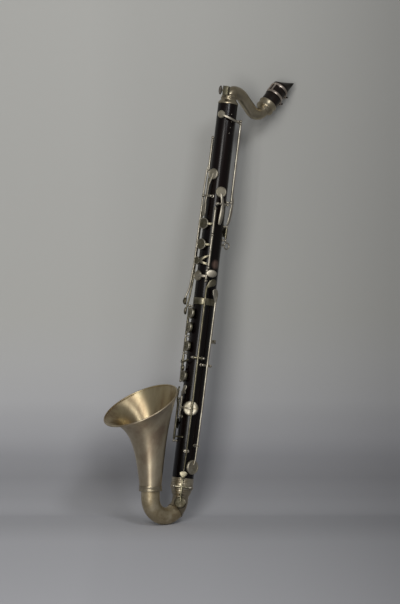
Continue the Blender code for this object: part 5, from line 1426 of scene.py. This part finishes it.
def register_key():
    top = upper(0.0809)
    low = upper(0.5012)
    turn = 41.0
    axle = Axle((top + low) / 2, turn, (low - top) / 2, height=0.0081)
    axle.posts("register_posts")
    start = -axle.half + BALL_RADIUS + GAP
    end = axle.half - BALL_RADIUS - GAP
    hole_station, hole_turn, radius = REGISTER_HOLE
    root = top + 0.0052
    stops = [(root, turn, 0.0081)]
    for share, height in ((0.16, 0.0072), (0.34, 0.0052), (0.55, 0.0044), (0.75, 0.0042),
                          (0.90, 0.0040), (1.0, 0.0036)):
        stops.append((root + (hole_station - root) * share, turn + (hole_turn - turn) * share, height))
    arm = strip([(*stop, ARM_HALF_WIDTH, ARM_HALF_THICKNESS) for stop in stops])
    span = THUMB_AXLE_STATION - THUMB_AXLE_HALF - BALL_RADIUS - REGISTER_TOUCH_CLEAR - low
    touch = strip([(low - 0.0100, 43.0, 0.0090, 0.0014, 0.0010), (low - 0.0040, 48.0, 0.0100, 0.0016, 0.0009),
                   (low + span * 0.09, 51.0, 0.0096, 0.0020, 0.0010),
                   (low + span * 0.29, 53.0, 0.0088, 0.0028, 0.0016),
                   (low + span * 0.58, 55.0, 0.0080, 0.0028, 0.0018),
                   (low + span * 0.84, 55.0, 0.0068, 0.0026, 0.0012),
                   (low + span, 49.0, 0.0052, 0.0020, 0.0006)], round_section, -48.0)
    key("register_key", axle, start, end, [arm, pad_cup(*REGISTER_HOLE), touch])


def throat_g_sharp_key():
    axle = Axle(upper(0.5170), -8.0, 0.0090, across=True, height=0.0056)
    axle.posts("throat_g_sharp_posts")
    end = axle.half - BALL_RADIUS - GAP
    root = axle.station
    station, turn, radius = THROAT_G_SHARP_HOLE
    arm = strip([(root, -10.0, 0.0062, 0.0024, 0.0010), (root - 0.0076, -15.0, 0.0060, 0.0022, 0.0010),
                 (station + 0.002, turn, CUP_TOP - 0.0002, 0.0018, 0.0009)])
    touch = strip([(root, -10.0, 0.0064, 0.0020, 0.0010), (root + 0.0054, -11.0, 0.0078, 0.0028, 0.0009),
                   (root + 0.0134, -12.0, 0.0080, 0.0034, 0.0017),
                   (root + 0.0234, -13.0, 0.0074, 0.0034, 0.0017),
                   (root + 0.0304, -14.0, 0.0062, 0.0026, 0.0012),
                   (root + 0.0324, -14.0, 0.0056, 0.0016, 0.0008)], round_section)
    key("throat_g_sharp_key", axle, -end, end, [arm, touch, pad_cup(station, turn, radius)])


def throat_a_key():
    axle = Axle(upper(0.4813), -86.0, 0.0088, across=True)
    axle.posts("throat_a_posts")
    end = axle.half - BALL_RADIUS - GAP
    root = axle.station
    station, turn, radius = THROAT_A_HOLE
    arm = strip([(root, -86.0, 0.0058, 0.0020, 0.0010), (root - 0.0158, -82.0, 0.0062, 0.0018, 0.0010),
                 (station + 0.006, turn - 5.0, CUP_TOP + 0.0002, 0.0017, 0.0009),
                 (station - 0.001, turn, CUP_TOP - 0.0004, 0.0014, 0.0009)])
    touch = strip([(root, -86.0, 0.0060, 0.0020, 0.0010), (root + 0.0082, -86.5, 0.0072, 0.0024, 0.0009),
                   (root + 0.0182, -87.0, 0.0072, 0.0034, 0.0008),
                   (root + 0.0272, -88.0, 0.0064, 0.0034, 0.0008),
                   (root + 0.0317, -88.0, 0.0056, 0.0018, 0.0007)])
    key("throat_a_key", axle, -end, end, [arm, touch, pad_cup(station, turn, radius)])


def trill_key(name, hole, rod_turn, top, low, path, button, thick, sink):
    axle = Axle((top + low) / 2, rod_turn, (low - top) / 2)
    axle.posts(name.replace("_key", "_posts"))
    start = -axle.half + BALL_RADIUS + GAP
    end = axle.half - BALL_RADIUS - GAP
    station, turn, radius = hole
    target = turn if turn < 0 else turn - 360.0
    arm = strip([(station, rod_turn, AXLE_HEIGHT, 0.0016, 0.0010),
                 (station, (rod_turn + target) / 2, 0.0052, 0.0016, 0.0009),
                 (station, target, CUP_TOP - 0.0003, 0.0014, 0.0008)])
    stem = lever(path)
    last = path[-1]
    touch = ellipse_button(over(button[0], button[1], button[2] - sink), outward(button[1]), 0.0058, 0.0036,
                           thick, UP)
    touch["part"] = "_touch"
    link = lever([last, (button[0] - 0.004, button[1], button[2], 0.0013)])
    key(name, axle, start, end, [arm, stem, link, touch, pad_cup(station, turn, radius)])


def upper_trill_key():
    top = upper(0.1740)
    low = upper(0.3500)
    path = [(low - 0.0120, -158.0, 0.0056, 0.0012), (low - 0.0020, -149.0, 0.0062, 0.0014),
            (upper(0.4292), -145.0, 0.0064, 0.0015), (upper(0.6273), -137.0, 0.0062, 0.0015),
            (upper(0.8254), -129.0, 0.0060, 0.0015), (upper(0.9574), -128.0, 0.0085, 0.0014)]
    trill_key("upper_trill_key", UPPER_TRILL_HOLE, -160.0, top, low, path,
              (LOWER_TOP + 0.0073, -128.0, 0.0135), 0.0044, 0.0016)


def lower_trill_key():
    top = upper(0.3731)
    low = upper(0.5282)
    path = [(low - 0.0120, -168.0, 0.0056, 0.0012), (low - 0.0020, -161.0, 0.0062, 0.0014),
            (upper(0.5777), -158.0, 0.0064, 0.0015), (upper(0.7263), -151.0, 0.0062, 0.0015),
            (upper(0.9079), -145.0, 0.0056, 0.0015), (LOWER_TOP + 0.0018, -142.0, 0.0074, 0.0014)]
    trill_key("lower_trill_key", LOWER_TRILL_HOLE, -170.0, top, low, path,
              (LOWER_TOP + 0.0223, -140.0, 0.0100), 0.0030, -0.0005)


LEFT_ROD_TURN = -38.0
LEFT_ROD_TOP = upper(0.5414)
LEFT_ROD_LOW = upper(0.8481)
LEFT_ROD_MIDDLE = upper(0.6784)
LEFT_ROD_SPLIT = upper(0.7659)
PLATEAU_OPEN = -PLATEAU_TRAVEL


def plateau_arm(rod_turn, hole, spread=0.0):
    """Arm from a rod to the crown of a plateau cup, in its closed place."""
    station, turn, radius = hole
    return strip([(station + spread, rod_turn, AXLE_HEIGHT, 0.0020, 0.0010),
                  (station + spread * 0.6, rod_turn + (turn - rod_turn) * 0.4, 0.0056, 0.0022, 0.0009),
                  (station, rod_turn + (turn - rod_turn) * 0.75, 0.0052, 0.0024, 0.0009),
                  (station, turn, CUP_TOP - 0.0004, 0.0018, 0.0008)])


def left_plateaus():
    axle = Axle((LEFT_ROD_TOP + LEFT_ROD_LOW) / 2, LEFT_ROD_TURN, (LEFT_ROD_LOW - LEFT_ROD_TOP) / 2)
    middle = LEFT_ROD_MIDDLE - axle.station
    axle.posts("left_plateau_posts", middle)
    low = axle.half - BALL_RADIUS - GAP
    high = middle + BALL_RADIUS + GAP
    split = LEFT_ROD_SPLIT - axle.station
    spans = [(-low, middle - BALL_RADIUS - GAP), (high, split - GAP), (split, low)]
    for number, (hole, span) in enumerate(zip(LEFT_HOLES, spans), 1):
        pieces = rimmed_cup(*hole)
        if number < 3:
            pieces.append(plateau_arm(LEFT_ROD_TURN, hole))
        else:
            pieces.append(plateau_arm(LEFT_ROD_TURN, hole, spread=-0.0090))
            pieces.append(plateau_arm(LEFT_ROD_TURN, hole, spread=0.0050))
        key("left_plateau_%d" % number, axle, *span, pieces, PLATEAU_OPEN)


def thumb_key():
    turn = 48.0
    axle = Axle(THUMB_AXLE_STATION, turn, THUMB_AXLE_HALF)
    axle.posts("thumb_key_posts")
    end = axle.half - BALL_RADIUS - GAP
    pieces = [pad_cup(*THUMB_HOLE), plateau_arm(turn, THUMB_HOLE, 0.0020)]
    key("thumb_key", axle, -end, end, pieces, PLATEAU_TRAVEL)


def c_sharp_key():
    turn = -42.0
    axle = Axle(upper(0.8897), turn, 0.0078)
    axle.posts("c_sharp_posts")
    end = axle.half - BALL_RADIUS - GAP
    root = axle.station
    arm = plateau_arm(turn, C_SHARP_HOLE)
    stalk = strip([(root - 0.0005, turn, 0.0052, 0.0018, 0.0010),
                   (root - 0.0030, -35.0, 0.0078, 0.0020, 0.0010),
                   (root - 0.0040, -27.0, 0.0086, 0.0022, 0.0008)])
    button = ellipse_button(over(root - 0.0042, -24.0, 0.0085), outward(-26.0), 0.0084, 0.0060,
                            0.0018, around(-24.0))
    key("c_sharp_key", axle, -end, end, [arm, stalk, button, pad_cup(*C_SHARP_HOLE)])


BOW_AXLE_STATION = BODY_END - BEAD_FROM_END
BOW_KEY_SEAT = LOWER_RADIUS + FERRULE_PROUD + BEAD_PROUD + GAP
BOW_AXLE_HEIGHT = 0.0030
BOW_KEY_TRAVEL = 11.0
TONGUE_ARM = 0.0195
TONGUE_THICKNESS = 0.0012
LEVER_END_HEIGHT = 0.0024
LEVER_END_RADIUS = 0.0010


def e_lever():
    turn = -36.0
    station = lower(0.3145)
    axle = Axle(station, turn, 0.0087, across=True)
    axle.posts("e_lever_posts")
    end = axle.half - BALL_RADIUS - GAP
    top = upper(0.9383)
    path = [(top, -33.0, 0.0090, 0.0016), (top + 0.0060, turn, 0.0086, 0.0018),
            (lower(0.0421), turn, 0.0078, 0.0017), (lower(0.2134), turn, 0.0066, 0.0017),
            (station, turn, 0.0064, 0.0018),
            (lower(0.4324), turn, 0.0084, 0.0016), (lower(0.5100), turn, 0.0108, 0.0015),
            (lower(0.5784), turn, 0.0112, 0.0014), (lower(0.6470), turn, 0.0106, 0.0014),
            (lower(0.7021), turn, 0.0085, 0.0013), (lower(0.8032), turn, 0.0058, 0.0012),
            (lower(0.8807), -37.0, 0.0026, LEVER_END_RADIUS),
            (BOW_AXLE_STATION - TONGUE_ARM, -38.0, LEVER_END_HEIGHT, LEVER_END_RADIUS)]
    stem = lever(path)
    spoon = strip([(top + 0.0030, -33.0, 0.0092, 0.0018, 0.0010),
                   (top - 0.0010, -26.0, 0.0094, 0.0038, 0.0009),
                   (top - 0.0045, -17.0, 0.0090, 0.0054, 0.0008),
                   (top - 0.0058, -8.0, 0.0082, 0.0050, 0.0008),
                   (top - 0.0060, -1.0, 0.0074, 0.0026, 0.0007)])
    key("e_lever", axle, -end, end, [stem, spoon])


def bow_key():
    turn = -38.0
    axle = Axle(BOW_AXLE_STATION, turn, 0.0128, True, BOW_AXLE_HEIGHT, BOW_KEY_SEAT)
    axle.posts("bow_key_posts")
    end = axle.half - BALL_RADIUS - 2 * GAP
    seat = bow_hole_frame() @ Matrix.Translation((0.0, 0.0, BOW_SEAT + GAP))
    cup = cup_on(seat, BOW_CUP)
    crown = seat @ Vector((0.0, 0.0, PAD_THICKNESS + CUP_HEIGHT - 0.0003))
    crown_station = STRAP_STATION - crown.z
    crown_height = Vector((crown.x, crown.y - AXIS_Y)).length - wood_radius(BODY_END)
    crown_turn = math.degrees(math.atan2(crown.y - AXIS_Y, crown.x))
    axle_height = axle.reach - wood_radius(BODY_END)
    arm = strip([(axle.station, turn, axle_height + 0.0006, 0.0022, 0.0010),
                 (axle.station + 0.009, turn, axle_height - 0.0002, 0.0017, 0.0010),
                 (axle.station + 0.016, turn, axle_height - 0.0022, 0.0016, 0.0010),
                 (crown_station, crown_turn, crown_height, 0.0014, 0.0009)])
    drop = TONGUE_ARM * 1.2 * math.sin(math.radians(BOW_KEY_TRAVEL))
    lifted = LEVER_END_HEIGHT + LEVER_END_RADIUS + GAP + TONGUE_THICKNESS + drop
    tongue = strip([(axle.station, turn, axle_height + 0.0006, 0.0020, 0.0010),
                    (axle.station - TONGUE_ARM * 0.55, turn, (axle_height + lifted) / 2 + 0.0006,
                     0.0018, 0.0009),
                    (axle.station - TONGUE_ARM * 0.76, turn, lifted, 0.0030, 0.0008),
                    (axle.station - TONGUE_ARM * 0.92, turn, lifted, 0.0056, 0.0008),
                    (axle.station - TONGUE_ARM * 1.08, turn, lifted, 0.0062, 0.0008),
                    (axle.station - TONGUE_ARM * 1.20, turn, lifted, 0.0036, 0.0007)])
    key("bow_key", axle, -end, end, [arm, tongue, cup], -BOW_KEY_TRAVEL)


def f_sharp_lever():
    turn = 8.0
    station = lower(0.3482)
    axle = Axle(station, turn, 0.0087, across=True)
    axle.posts("f_sharp_lever_posts")
    end = axle.half - BALL_RADIUS - GAP
    top = upper(0.9878)
    hole_station, hole_turn, radius = F_SHARP_HOLE
    path = [(top, 5.0, 0.0088, 0.0018), (top + 0.0300, turn, 0.0072, 0.0017),
            (station, turn, 0.0064, 0.0018), (lower(0.5504), turn, 0.0064, 0.0016),
            (lower(0.7459), turn, 0.0058, 0.0015),
            (hole_station - 0.0110, hole_turn + 3.5, 0.0056, 0.0014),
            (hole_station - 0.0030, hole_turn + 2.0, CUP_TOP - 0.0002, 0.0012)]
    stem = lever(path)
    spoon = strip([(top + 0.0100, 6.0, 0.0086, 0.0018, 0.0010), (top + 0.0020, 3.0, 0.0092, 0.0040, 0.0009),
                   (top - 0.0040, 0.0, 0.0092, 0.0050, 0.0008), (top - 0.0095, -3.0, 0.0084, 0.0038, 0.0008),
                   (top - 0.0110, -4.0, 0.0080, 0.0018, 0.0007)])
    key("f_sharp_lever", axle, -end, end, [stem, spoon, pad_cup(*F_SHARP_HOLE)])


def lever_guide(name, station, turn, half_gap):
    """Fork of two pegs on a small plate that keeps a long lever in line."""
    base = over(station, turn, GAP)
    plate = turned([(0.0, 0.0010), (0.0044, 0.0010), (0.0044, 0.0), (0.0, 0.0)],
                   placing(base, outward(turn)), 32)
    plate.data.transform(Matrix.Translation(base) @ placing(Vector(), UP, outward(turn))
                         @ Matrix.Diagonal((1.0, 1.0, 0.6, 1.0))
                         @ placing(Vector(), UP, outward(turn)).inverted() @ Matrix.Translation(-base))
    pegs = []
    for side in (-1.0, 1.0):
        foot = base + around(turn) * (side * half_gap) + outward(turn) * 0.0004
        outline = [(0.0, 0.0078), (0.0008, 0.0074), (0.0011, 0.0064), (0.0008, 0.0054), (0.0008, 0.0),
                   (0.0, 0.0)]
        pegs.append(turned(outline, placing(foot, outward(turn)), POST_SIDES))
    finished(joined(plate, *pegs), name, BRIGHT)


RIGHT_ROD_TURN = -130.0
F_KEY_TRAVEL = 9.0


def right_plateaus():
    top = lower(0.0479)
    low = lower(0.4392)
    axle = Axle((top + low) / 2, RIGHT_ROD_TURN, (low - top) / 2)
    second = lower(0.2063) - axle.station
    third = lower(0.2949) - axle.station
    axle.posts("right_plateau_posts", second, third)
    clear = BALL_RADIUS + GAP
    split = lower(0.1213) - axle.station
    spans = [(-axle.half + clear, split - GAP), (split, second - clear), (second + clear, third - clear)]
    for number, (hole, span) in enumerate(zip(RIGHT_HOLES, spans), 1):
        key("right_plateau_%d" % number, axle, *span,
            [*rimmed_cup(*hole), plateau_arm(RIGHT_ROD_TURN, hole)], PLATEAU_TRAVEL)
    vent_key(axle, third + clear, axle.half - clear)


def vent_key(axle, start, end):
    """Open-standing key with a crescent touch and a small tell-tale cup beside its own."""
    station = VENT_HOLE[0]
    crescent = []
    count = 6
    for i in range(count + 1):
        share = i / count
        crescent.append((station - 0.0260 + 0.0052 * math.sin(math.pi * share), RIGHT_ROD_TURN + 66.0 * share,
                         0.0058 + 0.0020 * math.sin(math.pi * share), 0.0015, 0.0008))
    small = cup_on(placing(over(station - 0.0123, -98.0, 0.0030), outward(-98.0)), 0.0044)
    bridge = strip([(station - 0.0110, -112.0, 0.0052, 0.0016, 0.0009),
                    (station - 0.0123, -98.0, 0.0050, 0.0016, 0.0009)])
    root = strip([(station - 0.0100, RIGHT_ROD_TURN, AXLE_HEIGHT, 0.0020, 0.0010),
                  (station - 0.0110, -110.0, 0.0052, 0.0018, 0.0009)])
    pieces = [*rimmed_cup(*VENT_HOLE), plateau_arm(RIGHT_ROD_TURN, VENT_HOLE), strip(crescent), root,
              bridge, small]
    key("vent_key", axle, start, end, pieces, PLATEAU_TRAVEL)


def f_key():
    top = lower(0.4988)
    low = lower(0.6242)
    axle = Axle((top + low) / 2, -88.0, (low - top) / 2)
    axle.posts("f_key_posts")
    end = axle.half - BALL_RADIUS - GAP
    station, turn, radius = F_HOLE
    arm = strip([(station, -88.0, AXLE_HEIGHT, 0.0020, 0.0010), (station, -72.0, 0.0060, 0.0018, 0.0010),
                 (station, -58.0, 0.0050, 0.0018, 0.0009),
                 (station, turn + 22.0, CUP_TOP - 0.0008, 0.0014, 0.0009)])
    touch = strip([(top + 0.0050, -88.0, 0.0056, 0.0018, 0.0010),
                   (top + 0.0010, -76.0, 0.0078, 0.0022, 0.0009),
                   (top - 0.0040, -70.0, 0.0086, 0.0032, 0.0008),
                   (top - 0.0085, -66.0, 0.0082, 0.0030, 0.0008),
                   (top - 0.0110, -64.0, 0.0076, 0.0014, 0.0007)])
    key("f_key", axle, -end, end, [arm, touch, pad_cup(station, turn, radius)], F_KEY_TRAVEL)
    ribs = joined(*cup_ribs(placing(over(station, turn, CHIMNEY_RISE + GAP), outward(turn)), radius))
    swung(ribs, axle.centre, axle.axis, F_KEY_TRAVEL)
    finished(ribs, "f_key", STRAP, "_ribs")


def a_flat_key():
    top = lower(0.5342)
    low = lower(0.7526)
    axle = Axle((top + low) / 2, -114.0, (low - top) / 2)
    axle.posts("a_flat_posts")
    end = axle.half - BALL_RADIUS - GAP
    station, turn, radius = A_FLAT_HOLE
    arm = plateau_arm(-114.0, A_FLAT_HOLE)
    bar = strip([(low - 0.0066, -114.0, AXLE_HEIGHT, 0.0014, 0.0010),
                 (low - 0.0066, -86.0, 0.0046, 0.0013, 0.0009),
                 (low - 0.0066, -58.0, 0.0040, 0.0012, 0.0008)])
    touch = strip([(top + 0.0070, -112.0, 0.0064, 0.0016, 0.0010), (top, -106.0, 0.0086, 0.0018, 0.0009),
                   (top - 0.0080, -104.0, 0.0088, 0.0032, 0.0008),
                   (top - 0.0160, -104.0, 0.0082, 0.0030, 0.0008),
                   (top - 0.0190, -104.0, 0.0076, 0.0014, 0.0007)])
    key("a_flat_key", axle, -end, end, [arm, bar, touch, pad_cup(station, turn, radius)])


def build():
    upper_joint()
    pins()
    lower_joint()
    top_ferrule()
    middle_ferrule()
    bottom_ferrule()
    neck()
    mouthpiece()
    reed()
    ligature()
    for place, along in zip(("lower", "upper"), LIGATURE_STATIONS):
        ligature_screw("ligature_screw_%s" % place, along)
    lyre_parts()
    bow_elbow()
    bow()
    bell_ring()
    bell()
    strap_ring()
    thumb_rest()
    register_key()
    throat_g_sharp_key()
    throat_a_key()
    upper_trill_key()
    lower_trill_key()
    left_plateaus()
    thumb_key()
    c_sharp_key()
    e_lever()
    bow_key()
    f_sharp_lever()
    lever_guide("e_lever_guide", lower(0.8015), -36.0, 0.0030)
    lever_guide("f_sharp_lever_guide", lower(0.7668), 8.0, 0.0030)
    right_plateaus()
    f_key()
    a_flat_key()




build()


# Camera, as the photograph shows the instrument

AZIMUTH = 52.0
ELEVATION = -3.0
ROLL = 6.9
DISTANCE = 5.0
METRES_PER_PIXEL = 0.00155
IMAGE_WIDTH = 400
IMAGE_HEIGHT = 604
TOP_PIXEL = (228.0, 104.5)      # where the upper edge of the wood stands in the picture


def camera_axes():
    """Right, up and back of the camera, in the row frame."""
    turn, rise, roll = (math.radians(v) for v in (AZIMUTH, ELEVATION, ROLL))
    back = Vector((math.sin(turn) * math.cos(rise), -math.cos(turn) * math.cos(rise), math.sin(rise)))
    right = Vector((0.0, 0.0, 1.0)).cross(back).normalized()
    up = back.cross(right)
    tilt = Matrix.Rotation(roll, 3, back)
    return tilt @ right, tilt @ up, back


RIGHT, CAMERA_UP, BACK = camera_axes()
data = bpy.data.cameras.new("camera")
camera = bpy.data.objects.new("camera", data)
bpy.context.scene.collection.objects.link(camera)
bpy.context.scene.camera = camera
data.sensor_width = 36.0
data.lens = 36.0 * DISTANCE / (IMAGE_HEIGHT * METRES_PER_PIXEL)
data.clip_start = 0.1
data.clip_end = 50.0
shift_right = (IMAGE_WIDTH / 2 - TOP_PIXEL[0]) * METRES_PER_PIXEL
shift_up = (TOP_PIXEL[1] - IMAGE_HEIGHT / 2) * METRES_PER_PIXEL
aim = from_axis(0.0, 0.0, 0.0) + RIGHT * shift_right + CAMERA_UP * shift_up
camera.matrix_world = (Matrix.Translation(aim + BACK * DISTANCE)
                       @ Matrix((RIGHT, CAMERA_UP, BACK)).transposed().to_4x4())


# Backdrop: a floor that sweeps up into a wall, against which the instrument leans; it is seen from
# the front alone

FLOOR_PITCH = 6.0
WALL_CLEAR = 0.010              # from the instrument's hindmost point to the wall
SWEEP_RADIUS = 0.14
SWEEP_AHEAD = 1.35
WALL_HEIGHT = 1.6
HALF_SPREAD = 1.5
SWEEP_STEPS = 32
PAPER_LOW = (0.378, 0.382, 0.404)       # on the floor and the foot of the wall
PAPER_HIGH = (0.378, 0.379, 0.364)
TINT_HEIGHTS = (0.08, 0.30)
# Painted light and shade on the paper, as (place, share of its lightest tone): across the picture, up the
# wall from the floor, and along the floor towards the camera
ACROSS = ((-0.30, 1.07), (-0.12, 1.07), (-0.04, 1.01), (0.06, 0.97), (0.18, 0.88), (0.27, 0.78), (0.36, 0.66))
UP_WALL = ((0.0, 0.88), (0.020, 0.68), (0.045, 0.57), (0.075, 0.61), (0.105, 0.76), (0.163, 0.95), (0.226, 0.98),
           (0.50, 0.95))
ALONG_FLOOR = ((-1.30, 1.10), (-0.62, 1.10), (-0.15, 1.24), (0.0, 1.10))
# A painted shadow of the bell: a soft dark patch low on the wall, left of the bow, as (share of its reach, share of
# the tone)
PAINTED_SHADOW_CENTRE = (-0.085, 0.0, 0.072)
PAINTED_SHADOW_REACH = 0.075
PAINTED_SHADOW = ((0.0, 0.70), (0.35, 0.76), (0.70, 0.92), (1.0, 1.0))


def backdrop():
    """A curved sheet under and behind the instrument."""
    pitch = math.radians(FLOOR_PITCH)
    level = (CAMERA_UP * math.cos(pitch) + BACK * math.sin(pitch)).normalized()
    ahead = (BACK * math.cos(pitch) - CAMERA_UP * math.sin(pitch)).normalized()
    corners = [o.matrix_world @ v.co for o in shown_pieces() for v in o.data.vertices]
    foot = min(corners, key=lambda point: point.dot(level))
    wall = max((foot - point).dot(ahead) for point in corners) + WALL_CLEAR
    profile = [(SWEEP_AHEAD, 0.0)]
    for k in range(SWEEP_STEPS + 1):
        angle = math.radians(90.0 * k / SWEEP_STEPS)
        profile.append((SWEEP_RADIUS * (1.0 - math.sin(angle)) - wall, SWEEP_RADIUS * (1.0 - math.cos(angle))))
    profile.append((-wall, WALL_HEIGHT))
    work = bmesh.new()
    rows = [[work.verts.new((x, -out, up)) for x in (-HALF_SPREAD, HALF_SPREAD)] for out, up in profile]
    for first, second in zip(rows, rows[1:]):
        work.faces.new((first[0], first[1], second[1], second[0]))
    mesh = bpy.data.meshes.new("backdrop")
    work.to_mesh(mesh)
    work.free()
    item = show(mesh)
    item.name = "backdrop"
    item.matrix_world = (Matrix.Translation(foot)
                         @ Matrix((RIGHT, -ahead, level)).transposed().to_4x4())
    item.data.shade_smooth()
    item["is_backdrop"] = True
    return item


def graded(tree, value, stops):
    """Grey that follows a coordinate through (place, brightness) stops."""
    low = stops[0][0]
    high = stops[-1][0]
    spread = node(tree, "ShaderNodeMapRange", **{"From Min": low, "From Max": high})
    tree.links.new(value, spread.inputs["Value"])
    return ramp(tree, spread.outputs["Result"],
                [((at - low) / (high - low), grey(tone)) for at, tone in stops])


def backdrop_look(item):
    """Grey paper with painted shade, darker to the right and where the floor meets the wall, with a painted shadow of
    the bell left of the bow, and clear from behind.
    """
    made, tree, shader = new_material("paper_look")
    coordinates = tree.nodes.new("ShaderNodeTexCoord")
    split = tree.nodes.new("ShaderNodeSeparateXYZ")
    tree.links.new(coordinates.outputs["Object"], split.inputs[0])
    # Painted light and shade across the paper, up the wall and along the floor
    tone = graded(tree, split.outputs["X"], ACROSS)
    tone = mix(tree, 1.0, tone, graded(tree, split.outputs["Z"], UP_WALL), "MULTIPLY")
    tone = mix(tree, 1.0, tone, graded(tree, split.outputs["Y"], ALONG_FLOOR), "MULTIPLY")
    # Painted shadow of the bell, a soft dark patch low on the wall left of the bow
    flat = node(tree, "ShaderNodeVectorMath", operation="MULTIPLY")
    tree.links.new(coordinates.outputs["Object"], flat.inputs[0])
    flat.inputs[1].default_value = (1.0, 0.0, 1.0)
    away = node(tree, "ShaderNodeVectorMath", operation="DISTANCE")
    tree.links.new(flat.outputs["Vector"], away.inputs[0])
    away.inputs[1].default_value = PAINTED_SHADOW_CENTRE
    reach = [(PAINTED_SHADOW_REACH * at, share) for at, share in PAINTED_SHADOW]
    tone = mix(tree, 1.0, tone, graded(tree, away.outputs["Value"], reach), "MULTIPLY")
    spread = node(tree, "ShaderNodeMapRange", **{"From Min": TINT_HEIGHTS[0], "From Max": TINT_HEIGHTS[1]})
    tree.links.new(split.outputs["Z"], spread.inputs["Value"])
    tint = ramp(tree, spread.outputs["Result"], [(0.0, PAPER_LOW), (1.0, PAPER_HIGH)])
    tone = mix(tree, 1.0, tone, tint, "MULTIPLY")
    tree.links.new(tone, shader.inputs["Base Color"])
    shader.inputs["Roughness"].default_value = 0.9
    shader.inputs["Specular IOR Level"].default_value = 0.1
    output = tree.nodes["Material Output"]
    geometry = tree.nodes.new("ShaderNodeNewGeometry")
    clear = tree.nodes.new("ShaderNodeBsdfTransparent")
    sides = tree.nodes.new("ShaderNodeMixShader")
    tree.links.new(geometry.outputs["Backfacing"], sides.inputs["Fac"])
    tree.links.new(shader.outputs[0], sides.inputs[1])
    tree.links.new(clear.outputs[0], sides.inputs[2])
    tree.links.new(sides.outputs[0], output.inputs["Surface"])
    item.data.materials.append(made)


backdrop_look(backdrop())


# Light

world = bpy.data.worlds.new("world")
bpy.context.scene.world = world
world.use_nodes = True
tree = world.node_tree
tree.nodes.clear()
output = tree.nodes.new("ShaderNodeOutputWorld")
dim = node(tree, "ShaderNodeBackground", Color=(0.80, 0.80, 0.80, 1.0), Strength=0.29)
seen = node(tree, "ShaderNodeBackground", Color=(0.33, 0.33, 0.32, 1.0), Strength=1.0)
path = tree.nodes.new("ShaderNodeLightPath")
blend = tree.nodes.new("ShaderNodeMixShader")
tree.links.new(path.outputs["Is Camera Ray"], blend.inputs["Fac"])
tree.links.new(dim.outputs[0], blend.inputs[1])
tree.links.new(seen.outputs[0], blend.inputs[2])
tree.links.new(blend.outputs[0], output.inputs["Surface"])


def lamp(name, right, up, back, size, height, power, colour=(1.0, 1.0, 1.0)):
    """An area lamp placed by the camera's own axes and aimed at the instrument."""
    light = bpy.data.lights.new(name, "AREA")
    light.shape = "RECTANGLE"
    light.size = size
    light.size_y = height
    light.energy = power
    light.color = colour
    item = bpy.data.objects.new(name, light)
    bpy.context.scene.collection.objects.link(item)
    centre = Vector((0.0, -0.06, -0.1))
    spot = centre + RIGHT * right + CAMERA_UP * up + BACK * back
    item.matrix_world = (Matrix.Translation(spot)
                         @ (spot - centre).to_track_quat("Z", "Y").to_matrix().to_4x4())


lamp("key", -0.40, 0.42, 2.4, 0.62, 1.8, 36.0, (1.0, 0.98, 0.95))
lamp("fill", 0.75, 1.5, 2.1, 0.5, 0.5, 15.0, (0.97, 0.98, 1.0))

bpy.context.scene.view_settings.view_transform = "Standard"
